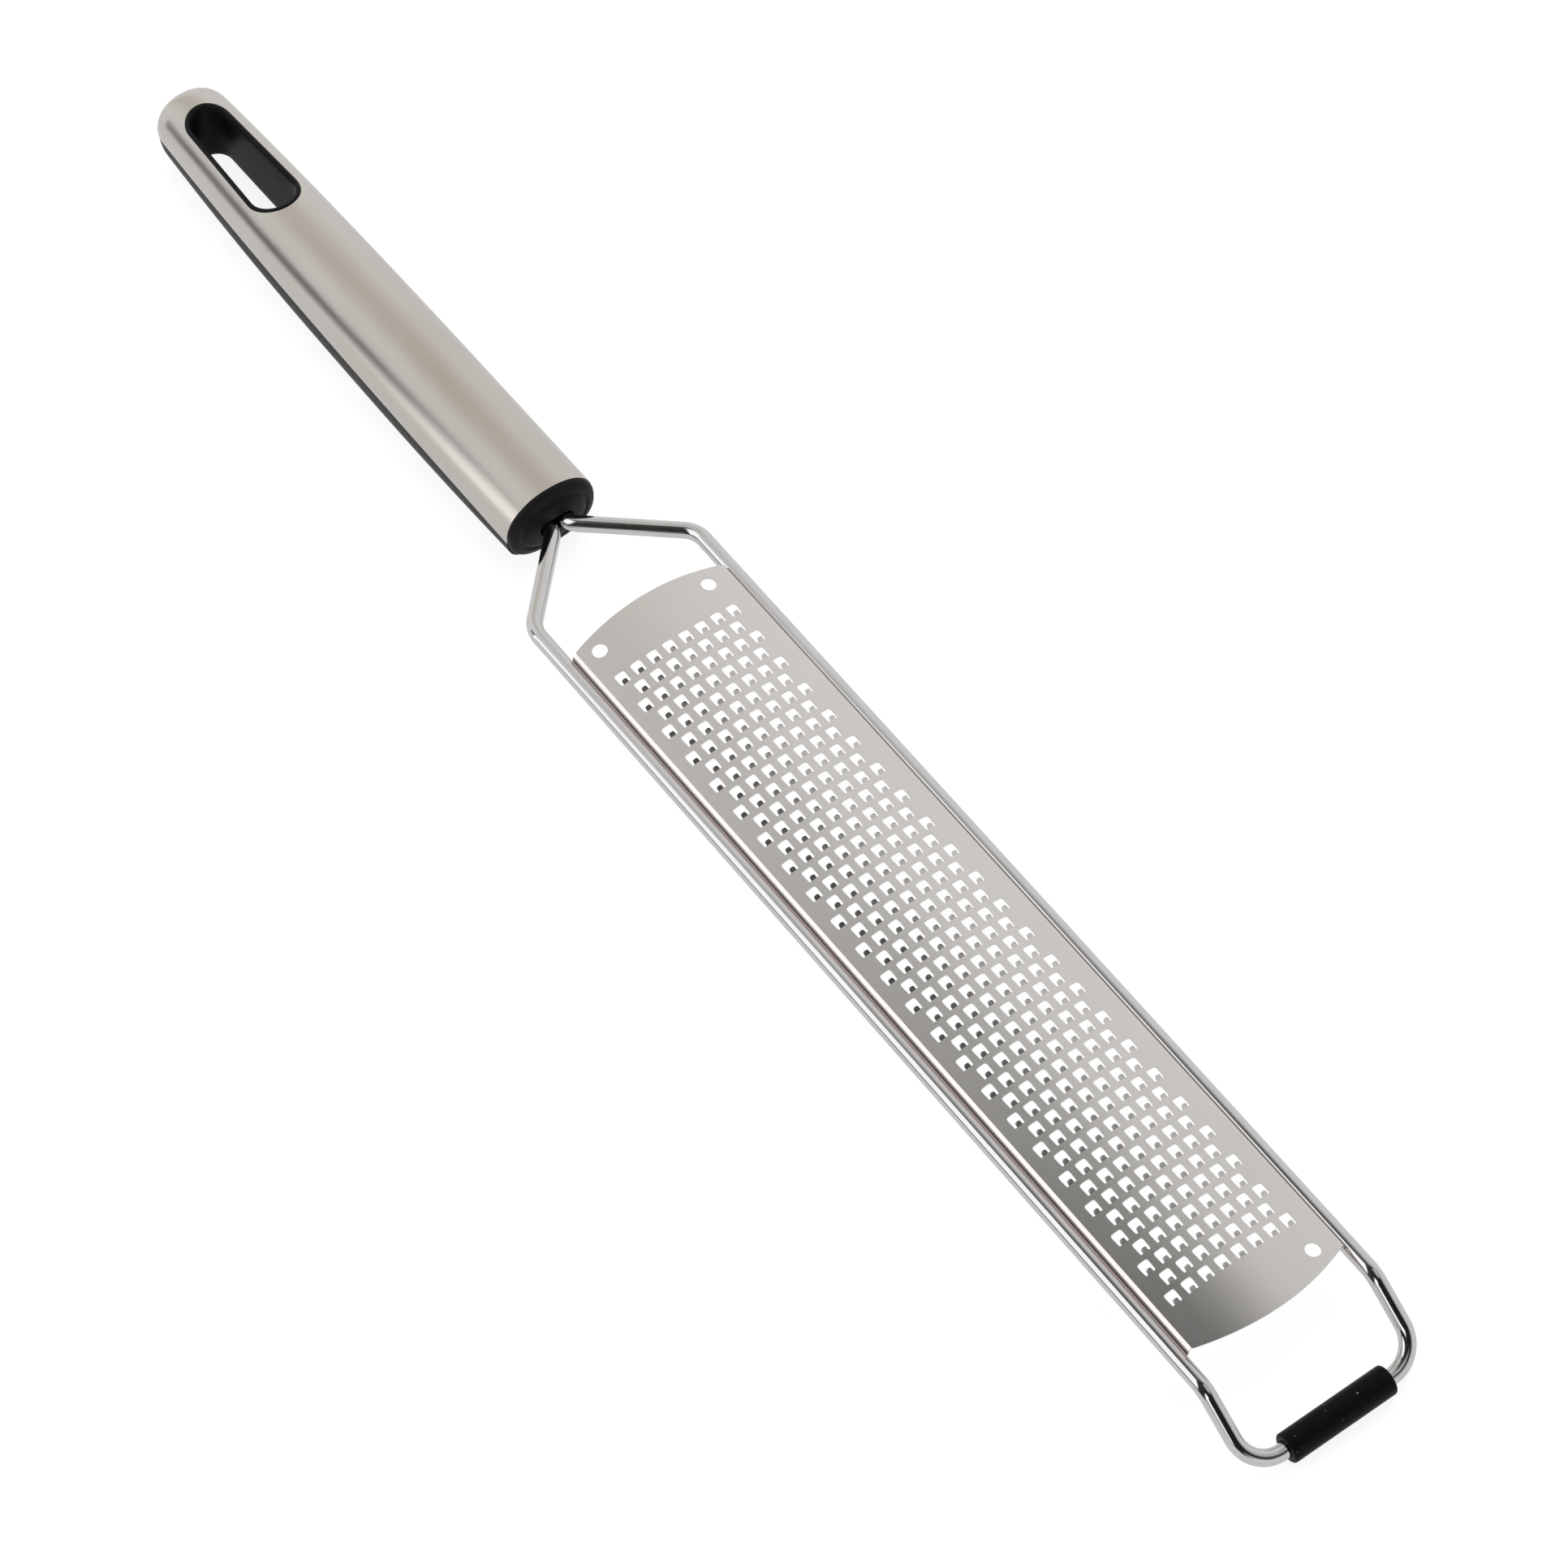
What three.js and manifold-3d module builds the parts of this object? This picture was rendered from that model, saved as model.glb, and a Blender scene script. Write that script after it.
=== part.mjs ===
// Zest grater: an etched steel plate, crowned across and folded down along both sides, welded
// between the two runs of one bent steel wire. The wire's ends sit in a plug in the front of a
// steel-shelled handle, and its crossbar at the far end carries a rubber foot.
// Millimetres. +X runs from the handle to the foot, +Y to the left, +Z up from the table.
import * as THREE from 'three';
import { mergeVertices } from 'three/addons/utils/BufferGeometryUtils.js';
import Module from 'manifold-3d';

// Teeth, measured in the flat pattern of the sheet
const TOOTH_ROWS = 45;
const TEETH_IN_WIDE_ROW = 8;
const TOOTH_PITCH_ALONG = 3.72;
const TOOTH_PITCH_ACROSS = 3.7;
const TOOTH_FIELD_SHIFT_ALONG = 0.32;
const TOOTH_FIELD_SHIFT_ACROSS = -0.6;
const OPENING_LENGTH = 2.66;
const OPENING_FRONT_WIDTH = 2.36;
const OPENING_REAR_WIDTH = 2.16;
const TONGUE_ROOT_WIDTH = 1.2;
const TONGUE_TIP_WIDTH = 1.05;
const TONGUE_REACH = 0.9;
const TONGUE_RISE = 0.22;

// Plate
const SHEET_THICKNESS = 0.3;
const END_MARGIN = 9.95;
const SIDE_MARGIN = 4.45;
const CROWN_RADIUS = 88;
const FOLD_INNER_RADIUS = 0.45;
const FLANGE_BELOW_WIRE_CENTRE = 0.4;
const FLANGE_END_RELIEF = 0.8;
const HANDLE_END_BOW = 2.2;
const FOOT_END_BOW = 3.3;
const CORNER_HOLE_DIAMETER = 3;
const HANDLE_HOLES_FROM_EDGE = 2.7;
const FOOT_HOLE_FROM_EDGE = 2.3;
const CORNER_HOLE_SPREAD = 25.4;

// Wire frame
const WIRE_DIAMETER = 3.35;
const WIRE_HEIGHT = 12.55;
const PLATE_EDGE_ABOVE_WIRE = 2.9;
const WELD_GAP = 0.05;
const SHOULDER_FROM_PLATE = 10.8;
const SHOULDER_BEND_RADIUS = 6;
const NECK_LENGTH = 21;
const ROOT_REACH = 3.3;
const ROOT_BEND_RADIUS = 4.5;
const ROOT_GAP = 0.5;
const WIRE_INSERT = 12;
const FRONT_RUN = 6.3;
const FRONT_BEND_RADIUS = 8;
const FOOT_REACH = 14.1;

// Foot sleeve
const SLEEVE_DIAMETER = 6;
const SLEEVE_LENGTH = 23.1;
const SLEEVE_EDGE_RADIUS = 0.6;
const SLEEVE_CLEARANCE = 0.08;
const SLEEVE_END_SPACE = 0.85;

// Handle form, shared by the shell, the base and the plug
const HANDLE_LENGTH = 128.8;
const HANDLE_FRONT_WIDTH = 20.1;
const HANDLE_BUTT_WIDTH = 15.4;
const HANDLE_FRONT_TOP = 18.35;
const HANDLE_BUTT_TOP = 14.6;
const HANDLE_FRONT_BOTTOM = 1.75;
const HANDLE_BUTT_BOTTOM = 2.2;
const BELLY_BELOW_TABLE = 1.2;
const BELLY_START = 44;
const BELLY_LENGTH = 30;
const HANDLE_FRONT_MIDLINE = 9.75;
const HANDLE_BUTT_MIDLINE = 8.75;
const UPPER_SQUARENESS = 2.12;
const LOWER_SQUARENESS = 3.2;
const BUTT_SQUARENESS = 3.1;
const WIDTH_TAPER_POWER = 3.2;
const BELLY_RISE_POWER = 1.6;
const BUTT_ROUND = 7;
const BUTT_LEAN = 0.26;
const SEAM_HEIGHT = 8.55;
const SEAM_GAP = 0.4;
const SHELL_WALL = 0.9;
const BASE_STEP_IN = 0.1;
const CORE_OVERLAP = 1.5;
const FIT_GAP = 0.15;

// Front plug
const PLUG_DEPTH = 14;
const PLUG_BULGE = 2;
const PLUG_FACE_SHARE = 0.8;
const MOUTH_CLEARANCE = 0.25;
const MOUTH_BOTTOM_GAP = 0.3;

// Hanging slot and its liner
const SLOT_LENGTH = 32.65;
const SLOT_FRONT_WIDTH = 11.3;
const SLOT_BUTT_WIDTH = 9.65;
const SLOT_FROM_BUTT = 7.35;
const LINER_WALL = 0.85;
const LINER_DRAFT = 0.4;
const LINER_BUTT_DRAFT = 1.2;
const LINER_LIP = 0.3;

// Facets
const FOLD_STEPS = 3;
const BOW_STEPS = 8;
const HOLE_POINTS = 8;
const WIRE_SIDES = 10;
const ROOT_BEND_STEPS = 3;
const SHOULDER_BEND_STEPS = 3;
const FRONT_BEND_STEPS = 2;
const FOOT_CORNER_STEPS = 6;
const SLEEVE_SIDES = 16;
const SECTION_POINTS = 24;
const HANDLE_STEPS = 6;
const BUTT_STEPS = 4;
const BUTT_CAP_SHARE = 0.99;
const PLUG_STEPS = 3;
const MOUTH_SEGMENTS = 6;
const SLOT_END_STEPS = 7;
const EDGE_NUDGE = 0.05;

// How far a cutting form runs past the face it cuts
const OVERRUN = 2;

// Sizes that follow from the ones above
const plateHalfLength = ((TOOTH_ROWS - 1) * TOOTH_PITCH_ALONG) / 2 + END_MARGIN;
const flangeHalfLength = plateHalfLength - FLANGE_END_RELIEF;
const firstRowAlong = TOOTH_FIELD_SHIFT_ALONG - ((TOOTH_ROWS - 1) * TOOTH_PITCH_ALONG) / 2;
const plateHalfWidth = ((TEETH_IN_WIDE_ROW - 1) * TOOTH_PITCH_ACROSS) / 2 + SIDE_MARGIN;
const foldOuterRadius = FOLD_INNER_RADIUS + SHEET_THICKNESS;
const foldAngle = Math.asin((plateHalfWidth - foldOuterRadius) / (CROWN_RADIUS - foldOuterRadius));
const flatHalfWidth = CROWN_RADIUS * foldAngle;
const foldLength = foldOuterRadius * (Math.PI / 2 - foldAngle);
const crownRise = CROWN_RADIUS * (1 - Math.cos(foldAngle));
const crownHeight = WIRE_HEIGHT + PLATE_EDGE_ABOVE_WIRE + crownRise;
const foldCentreHeight = crownHeight - CROWN_RADIUS + (CROWN_RADIUS - foldOuterRadius) * Math.cos(foldAngle);
const flangeLength = foldCentreHeight - (WIRE_HEIGHT - FLANGE_BELOW_WIRE_CENTRE);
const wireRadius = WIRE_DIAMETER / 2;
const wireSide = plateHalfWidth + WELD_GAP + wireRadius;
const shoulderX = -plateHalfLength - SHOULDER_FROM_PLATE;
const handleFrontX = shoulderX - NECK_LENGTH;
const rootSide = wireRadius + ROOT_GAP / 2;
const rootHeight = HANDLE_FRONT_MIDLINE;
const rootBendX = handleFrontX + ROOT_REACH;
const frontBendX = plateHalfLength + FRONT_RUN;
const footX = frontBendX + FOOT_REACH;
const footHeight = SLEEVE_DIAMETER / 2;
const footCornerRadius = wireSide - SLEEVE_LENGTH / 2 - SLEEVE_END_SPACE;
const buttX = handleFrontX - HANDLE_LENGTH;
const slotButtX = buttX + SLOT_FROM_BUTT;
const slotFrontX = slotButtX + SLOT_LENGTH;

const wasm = await Module();
wasm.setup();

// A geometry with only shared positions, so that its faces join edge to edge
function weld(geometry) {
  const bare = geometry.clone();
  bare.deleteAttribute('normal');
  bare.deleteAttribute('uv');
  return mergeVertices(bare, 1e-5);
}

// An indexed geometry from points and triangles, turned so that its faces look outward
function closedGeometry(points, faces) {
  let volume = 0;
  for (const [a, b, c] of faces) {
    volume += points[a].dot(new THREE.Vector3().crossVectors(points[b], points[c]));
  }
  const ordered = volume < 0 ? faces.map(([a, b, c]) => [a, c, b]) : faces;
  const geometry = new THREE.BufferGeometry();
  const positions = points.flatMap((point) => point.toArray());
  geometry.setAttribute('position', new THREE.Float32BufferAttribute(positions, 3));
  geometry.setIndex(ordered.flat());
  return geometry;
}

function solidOf(geometry) {
  const welded = weld(geometry);
  const mesh = new wasm.Mesh({
    numProp: 3,
    vertProperties: new Float32Array(welded.attributes.position.array),
    triVerts: new Uint32Array(welded.index.array),
  });
  return new wasm.Manifold(mesh);
}

function geometryOf(solid) {
  const mesh = solid.getMesh();
  const geometry = new THREE.BufferGeometry();
  geometry.setAttribute('position', new THREE.Float32BufferAttribute(mesh.vertProperties, 3));
  geometry.setIndex(Array.from(mesh.triVerts));
  return geometry;
}

// A solid skinned over rings of equal point count, closed by flat ends
function loft(rings) {
  const count = rings[0].length;
  const last = (rings.length - 1) * count;
  const faces = [];
  for (let ring = 0; ring < rings.length - 1; ring += 1) {
    for (let i = 0; i < count; i += 1) {
      const a = ring * count + i;
      const b = ring * count + ((i + 1) % count);
      faces.push([a, b, b + count], [a, b + count, a + count]);
    }
  }
  for (let i = 1; i < count - 1; i += 1) {
    faces.push([0, i + 1, i], [last, last + i, last + i + 1]);
  }
  return closedGeometry(rings.flat(), faces);
}

// A point of the flat pattern carried onto the finished sheet. Depth 0 is the outer face.
function sheetPoint(along, across, depth) {
  const side = Math.sign(across);
  const reach = Math.abs(across);
  if (reach <= flatHalfWidth + 1e-9) {
    const angle = reach / CROWN_RADIUS;
    const radius = CROWN_RADIUS - depth;
    const height = crownHeight - CROWN_RADIUS + radius * Math.cos(angle);
    return new THREE.Vector3(along, side * radius * Math.sin(angle), height);
  }
  const angle = Math.min(foldAngle + (reach - flatHalfWidth) / foldOuterRadius, Math.PI / 2);
  const drop = Math.max(0, reach - flatHalfWidth - foldLength);
  const centreSide = plateHalfWidth - foldOuterRadius;
  const radius = foldOuterRadius - depth;
  const height = foldCentreHeight + radius * Math.cos(angle) - drop;
  return new THREE.Vector3(along, side * (centreSide + radius * Math.sin(angle)), height);
}

// The flat pattern as triangles that share corners. A raised corner is sharp: the sheet's two
// faces meet there.
class Pattern {
  constructor() {
    this.corners = [];
    this.faces = [];
    this.lookup = new Map();
  }

  corner(along, across, raise = 0) {
    const key = [along, across, raise].map((value) => value.toFixed(5)).join(' ');
    if (!this.lookup.has(key)) {
      this.lookup.set(key, this.corners.length);
      this.corners.push({ along, across, raise });
    }
    return this.lookup.get(key);
  }

  face(a, b, c) {
    const [p, q, r] = [a, b, c].map((id) => this.corners[id]);
    const turn = (q.along - p.along) * (r.across - p.across) - (r.along - p.along) * (q.across - p.across);
    this.faces.push(turn > 0 ? [a, b, c] : [a, c, b]);
  }

  // Fills an outline with holes. A corner may carry a small nudge, used only while the outline is
  // divided, that keeps corners on one straight edge all in use.
  fill(outline, holes) {
    const nudged = ([along, across, dx = 0, dy = 0]) => new THREE.Vector2(along + dx, across + dy);
    const ids = [outline, ...holes].flat().map(([along, across]) => this.corner(along, across));
    const loops = holes.map((hole) => hole.map(nudged));
    for (const [a, b, c] of THREE.ShapeUtils.triangulateShape(outline.map(nudged), loops)) {
      this.face(ids[a], ids[b], ids[c]);
    }
  }

  // The strip between two rows of corners that both run along, or both across, the sheet
  zip(near, far, axis) {
    const placeOf = (row, i) => (i < row.length ? this.corners[row[i]][axis] : Infinity);
    let i = 0;
    let j = 0;
    while (i < near.length - 1 || j < far.length - 1) {
      if (placeOf(near, i + 1) < placeOf(far, j + 1)) {
        this.face(near[i], near[i + 1], far[j]);
        i += 1;
      } else {
        this.face(near[i], far[j], far[j + 1]);
        j += 1;
      }
    }
  }

  // The strip between a row of corners and the two ends of the next line
  fan(row, start, end) {
    const middle = Math.floor(row.length / 2);
    for (let i = 0; i < row.length - 1; i += 1) {
      this.face(i < middle ? start : end, row[i], row[i + 1]);
    }
    this.face(start, row[middle], end);
  }

  // Gives the pattern its thickness, with a wall along every open edge
  solid() {
    const points = this.corners.map((p) => sheetPoint(p.along, p.across, -p.raise));
    const under = this.corners.map((p, id) => {
      if (p.raise > 0) {
        return id;
      }
      points.push(sheetPoint(p.along, p.across, SHEET_THICKNESS));
      return points.length - 1;
    });
    const edges = new Set(this.faces.flatMap(([a, b, c]) => [`${a} ${b}`, `${b} ${c}`, `${c} ${a}`]));
    const faces = [];
    for (const [a, b, c] of this.faces) {
      faces.push([a, b, c], [under[a], under[c], under[b]]);
      for (const [from, to] of [[a, b], [b, c], [c, a]]) {
        if (!edges.has(`${to} ${from}`)) {
          faces.push([from, under[from], under[to]], [from, under[to], to]);
        }
      }
    }
    const whole = faces.filter(([a, b, c]) => a !== b && b !== c && c !== a);
    return closedGeometry(points, whole);
  }
}

// One tooth: the corners of its U-shaped opening, and the raised tongue on the opening's foot side
function addTooth(pattern, along, across) {
  const front = along - OPENING_LENGTH / 2;
  const rear = along + OPENING_LENGTH / 2;
  const tip = rear - TONGUE_REACH;
  const rootRight = pattern.corner(rear, across - TONGUE_ROOT_WIDTH / 2);
  const rootLeft = pattern.corner(rear, across + TONGUE_ROOT_WIDTH / 2);
  const tipRight = pattern.corner(tip, across - TONGUE_TIP_WIDTH / 2, TONGUE_RISE);
  const tipLeft = pattern.corner(tip, across + TONGUE_TIP_WIDTH / 2, TONGUE_RISE);
  pattern.face(rootLeft, rootRight, tipRight);
  pattern.face(rootLeft, tipRight, tipLeft);
  const frontRight = pattern.corner(front, across - OPENING_FRONT_WIDTH / 2);
  const frontLeft = pattern.corner(front, across + OPENING_FRONT_WIDTH / 2);
  const rearRight = pattern.corner(rear, across - OPENING_REAR_WIDTH / 2);
  const rearLeft = pattern.corner(rear, across + OPENING_REAR_WIDTH / 2);
  return {
    front: [frontRight, frontLeft],
    rear: [rearRight, rootRight, rootLeft, rearLeft],
  };
}

// One row of teeth across the sheet, with the webs between its openings
function addRow(pattern, along, count) {
  const teeth = [];
  for (let i = 0; i < count; i += 1) {
    const across = TOOTH_FIELD_SHIFT_ACROSS + (i - (count - 1) / 2) * TOOTH_PITCH_ACROSS;
    teeth.push(addTooth(pattern, along, across));
  }
  for (let i = 1; i < count; i += 1) {
    const frontLeft = teeth[i - 1].front.at(-1);
    const rearLeft = teeth[i - 1].rear.at(-1);
    pattern.face(frontLeft, teeth[i].front[0], rearLeft);
    pattern.face(rearLeft, teeth[i].front[0], teeth[i].rear[0]);
  }
  return {
    front: teeth.flatMap((tooth) => tooth.front),
    rear: teeth.flatMap((tooth) => tooth.rear),
  };
}

function cornerHole(along, across) {
  const hole = [];
  for (let i = 0; i < HOLE_POINTS; i += 1) {
    const angle = (2 * Math.PI * i) / HOLE_POINTS;
    const radius = CORNER_HOLE_DIAMETER / 2;
    hole.push([along + radius * Math.cos(angle), across + radius * Math.sin(angle)]);
  }
  return hole;
}

// One plain end of the plate, from the last row of teeth to the bowed edge
function fillEnd(pattern, end, fieldEdge, bow, holeFromEdge, holeSides) {
  const edge = [];
  for (let i = 0; i <= BOW_STEPS; i += 1) {
    const across = flatHalfWidth * (1 - (2 * i) / BOW_STEPS);
    const out = bow * (1 - (across / flatHalfWidth) ** 2);
    edge.push([end * (plateHalfLength + out), across]);
  }
  const inner = fieldEdge.map((id) => {
    const { along, across } = pattern.corners[id];
    return [along, across, end * EDGE_NUDGE * (1 - (across / flatHalfWidth) ** 2)];
  });
  const left = [end * flangeHalfLength, flatHalfWidth, 0, -EDGE_NUDGE];
  const right = [end * flangeHalfLength, -flatHalfWidth, 0, EDGE_NUDGE];
  const holeAlong = end * (plateHalfLength - holeFromEdge);
  const holes = holeSides.map((side) =>
    cornerHole(holeAlong, TOOTH_FIELD_SHIFT_ACROSS + (side * CORNER_HOLE_SPREAD) / 2));
  pattern.fill([...inner, left, ...edge, right], holes);
}

// One side: the margin beside the teeth, the fold, and the flange that is welded to the wire
function addSide(pattern, side, rows) {
  const outermost = side < 0 ? 0 : -1;
  const teethEdge = rows.flatMap((row) => [row.front.at(outermost), row.rear.at(outermost)]);
  const foldLine = [-flangeHalfLength];
  for (let i = 1; i < rows.length; i += 1) {
    foldLine.push(firstRowAlong + (i - 0.5) * TOOTH_PITCH_ALONG);
  }
  foldLine.push(flangeHalfLength);
  let line = foldLine.map((along) => pattern.corner(along, side * flatHalfWidth));
  pattern.zip(line, teethEdge, 'along');
  const reaches = [];
  for (let i = 1; i <= FOLD_STEPS; i += 1) {
    reaches.push(flatHalfWidth + (foldLength * i) / FOLD_STEPS);
  }
  reaches.push(flatHalfWidth + foldLength + flangeLength);
  for (const reach of reaches) {
    const start = pattern.corner(-flangeHalfLength, side * reach);
    const end = pattern.corner(flangeHalfLength, side * reach);
    pattern.fan(line, start, end);
    line = [start, end];
  }
}

function graterPlate() {
  const pattern = new Pattern();
  const rows = [];
  for (let i = 0; i < TOOTH_ROWS; i += 1) {
    rows.push(addRow(pattern, firstRowAlong + i * TOOTH_PITCH_ALONG, TEETH_IN_WIDE_ROW - (i % 2)));
  }
  for (let i = 1; i < TOOTH_ROWS; i += 1) {
    pattern.zip(rows[i - 1].rear, rows[i].front, 'across');
  }
  fillEnd(pattern, -1, rows[0].front, HANDLE_END_BOW, HANDLE_HOLES_FROM_EDGE, [-1, 1]);
  fillEnd(pattern, 1, rows.at(-1).rear, FOOT_END_BOW, FOOT_HOLE_FROM_EDGE, [1]);
  addSide(pattern, -1, rows);
  addSide(pattern, 1, rows);
  return pattern.solid();
}

// The rounded corner at one bend of the wire, as points with the wire's direction at each
function bendKnots(before, corner, after, radius, steps) {
  const toBefore = before.clone().sub(corner).normalize();
  const toAfter = after.clone().sub(corner).normalize();
  const half = toBefore.angleTo(toAfter) / 2;
  const tangentLength = radius / Math.tan(half);
  const inward = toBefore.clone().add(toAfter).normalize();
  const centre = corner.clone().addScaledVector(inward, radius / Math.sin(half));
  const start = corner.clone().addScaledVector(toBefore, tangentLength).sub(centre);
  const end = corner.clone().addScaledVector(toAfter, tangentLength).sub(centre);
  const sweep = Math.PI - 2 * half;
  const knots = [];
  for (let i = 0; i <= steps; i += 1) {
    const angle = (sweep * i) / steps;
    const point = centre.clone();
    point.addScaledVector(start, Math.sin(sweep - angle) / Math.sin(sweep));
    point.addScaledVector(end, Math.sin(angle) / Math.sin(sweep));
    const direction = start.clone().multiplyScalar(-Math.cos(sweep - angle));
    direction.addScaledVector(end, Math.cos(angle)).normalize();
    knots.push({ point, direction });
  }
  return knots;
}

// A route through knots, with one section of the tube at each knot
class KnotPath extends THREE.Curve {
  constructor(knots) {
    super();
    this.knots = knots;
  }

  getUtoTmapping(u) {
    return u;
  }

  getPoint(t, target = new THREE.Vector3()) {
    const place = t * (this.knots.length - 1);
    const low = Math.min(Math.floor(place + 1e-6), this.knots.length - 2);
    return target.lerpVectors(this.knots[low].point, this.knots[low + 1].point, place - low);
  }

  getTangent(t, target = new THREE.Vector3()) {
    return target.copy(this.knots[Math.round(t * (this.knots.length - 1))].direction);
  }
}

// Both ends of the wire start in the plug. Each side spreads to its shoulder, runs along the plate,
// turns down and rounds the corner into the crossbar.
function frameWire() {
  const side = [
    { at: [handleFrontX - WIRE_INSERT, rootSide, rootHeight] },
    { at: [rootBendX, rootSide, rootHeight], radius: ROOT_BEND_RADIUS, steps: ROOT_BEND_STEPS },
    { at: [shoulderX, wireSide, WIRE_HEIGHT], radius: SHOULDER_BEND_RADIUS, steps: SHOULDER_BEND_STEPS },
    { at: [frontBendX, wireSide, WIRE_HEIGHT], radius: FRONT_BEND_RADIUS, steps: FRONT_BEND_STEPS },
    { at: [footX, wireSide, footHeight], radius: footCornerRadius, steps: FOOT_CORNER_STEPS },
  ];
  const mirrored = side.map((bend) => ({ ...bend, at: [bend.at[0], -bend.at[1], bend.at[2]] }));
  const bends = [...side, ...mirrored.reverse()];
  const corners = bends.map((bend) => new THREE.Vector3(...bend.at));
  const last = corners.length - 1;
  const startDirection = corners[1].clone().sub(corners[0]).normalize();
  const endDirection = corners[last].clone().sub(corners[last - 1]).normalize();
  const knots = [{ point: corners[0], direction: startDirection }];
  for (let i = 1; i < last; i += 1) {
    knots.push(...bendKnots(corners[i - 1], corners[i], corners[i + 1], bends[i].radius, bends[i].steps));
  }
  knots.push({ point: corners[last], direction: endDirection });
  const round = new THREE.Shape().absarc(0, 0, wireRadius, 0, 2 * Math.PI);
  return new THREE.ExtrudeGeometry(round, {
    curveSegments: WIRE_SIDES / 2,
    steps: knots.length - 1,
    extrudePath: new KnotPath(knots),
  });
}

function footSleeve() {
  const bore = (wireRadius + SLEEVE_CLEARANCE) / Math.cos(Math.PI / SLEEVE_SIDES);
  const radius = SLEEVE_DIAMETER / 2;
  const half = SLEEVE_LENGTH / 2;
  const profile = [
    new THREE.Vector2(bore, -half),
    new THREE.Vector2(radius - SLEEVE_EDGE_RADIUS, -half),
    new THREE.Vector2(radius, -half + SLEEVE_EDGE_RADIUS),
    new THREE.Vector2(radius, half - SLEEVE_EDGE_RADIUS),
    new THREE.Vector2(radius - SLEEVE_EDGE_RADIUS, half),
    new THREE.Vector2(bore, half),
    new THREE.Vector2(bore, -half),
  ];
  return new THREE.LatheGeometry(profile, SLEEVE_SIDES).translate(footX, 0, footHeight);
}

// The handle's form at a station measured back from its front
function handleWidth(station) {
  const share = Math.max(0, station) / HANDLE_LENGTH;
  return HANDLE_FRONT_WIDTH + (HANDLE_BUTT_WIDTH - HANDLE_FRONT_WIDTH) * share ** WIDTH_TAPER_POWER;
}

function handleTop(station) {
  return THREE.MathUtils.lerp(HANDLE_FRONT_TOP, HANDLE_BUTT_TOP, station / HANDLE_LENGTH);
}

function handleMidline(station) {
  return THREE.MathUtils.lerp(HANDLE_FRONT_MIDLINE, HANDLE_BUTT_MIDLINE, station / HANDLE_LENGTH);
}

function handleBottom(station) {
  const bellyEnd = BELLY_START + BELLY_LENGTH;
  if (station < BELLY_START) {
    const share = Math.max(0, station) / BELLY_START;
    return THREE.MathUtils.lerp(HANDLE_FRONT_BOTTOM, -BELLY_BELOW_TABLE, share * (2 - share));
  }
  const share = Math.max(0, station - bellyEnd) / (HANDLE_LENGTH - bellyEnd);
  return THREE.MathUtils.lerp(-BELLY_BELOW_TABLE, HANDLE_BUTT_BOTTOM, share ** BELLY_RISE_POWER);
}

// One section of the handle's form, drawn in by an inset and shrunk towards its midline
function handleRing(station, inset, shrink) {
  const half = (handleWidth(station) / 2 - inset) * shrink;
  const middle = handleMidline(station);
  const up = (handleTop(station) - middle - inset) * shrink;
  const down = (middle - handleBottom(station) - inset) * shrink;
  const ring = [];
  for (let i = 0; i < SECTION_POINTS; i += 1) {
    const angle = (2 * Math.PI * i) / SECTION_POINTS;
    const squareness = i <= SECTION_POINTS / 2 ? UPPER_SQUARENESS : LOWER_SQUARENESS;
    const across = Math.sign(Math.cos(angle)) * Math.abs(Math.cos(angle)) ** (2 / squareness);
    const rise = Math.sign(Math.sin(angle)) * Math.abs(Math.sin(angle)) ** (2 / squareness);
    const height = middle + rise * (rise > 0 ? up : down);
    ring.push(new THREE.Vector3(handleFrontX - station, half * across, height));
  }
  return ring;
}

// The handle's form from a station back to its rounded butt, drawn in by an inset. The butt leans
// forward towards its underside.
function handleForm(start, inset) {
  const roundStart = HANDLE_LENGTH - inset - BUTT_ROUND;
  const rings = [handleRing(start, inset, 1)];
  for (let step = 1; step <= HANDLE_STEPS; step += 1) {
    const station = (roundStart * step) / HANDLE_STEPS;
    if (station > start) {
      rings.push(handleRing(station, inset, 1));
    }
  }
  for (let step = 1; step <= BUTT_STEPS; step += 1) {
    const share = BUTT_CAP_SHARE * (1 - (1 - step / BUTT_STEPS) ** 2);
    const shrink = (1 - share ** BUTT_SQUARENESS) ** (1 / BUTT_SQUARENESS);
    const ring = handleRing(roundStart + share * BUTT_ROUND, inset, shrink);
    const lean = BUTT_LEAN * share;
    rings.push(ring.map((point) => point.setX(point.x + lean * (HANDLE_BUTT_TOP - point.z))));
  }
  return solidOf(loft(rings));
}

// The outline of the slot at a height: a half round at each end, the wider one towards the front,
// widened all round by a margin, with the butt end drawn forward
function slotRing(margin, buttDraft, height) {
  const frontCentreX = slotFrontX - SLOT_FRONT_WIDTH / 2;
  const buttCentreX = slotButtX + SLOT_BUTT_WIDTH / 2 + buttDraft;
  const ends = [
    { x: frontCentreX, radius: SLOT_FRONT_WIDTH / 2 + margin, turn: -Math.PI / 2 },
    { x: buttCentreX, radius: SLOT_BUTT_WIDTH / 2 + margin, turn: Math.PI / 2 },
  ];
  const ring = [];
  for (const { x, radius, turn } of ends) {
    for (let i = 0; i <= SLOT_END_STEPS; i += 1) {
      const angle = turn + (Math.PI * i) / SLOT_END_STEPS;
      ring.push(new THREE.Vector3(x + radius * Math.cos(angle), radius * Math.sin(angle), height));
    }
  }
  return ring;
}

// The upright slot through the handle, widened all round by a margin, and narrowed at the bottom
function slotColumn(margin, draft, buttDraft) {
  const bottom = slotRing(margin - draft, buttDraft, -BELLY_BELOW_TABLE - OVERRUN);
  const top = slotRing(margin, 0, HANDLE_FRONT_TOP + OVERRUN);
  return solidOf(loft([bottom, top]));
}

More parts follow.
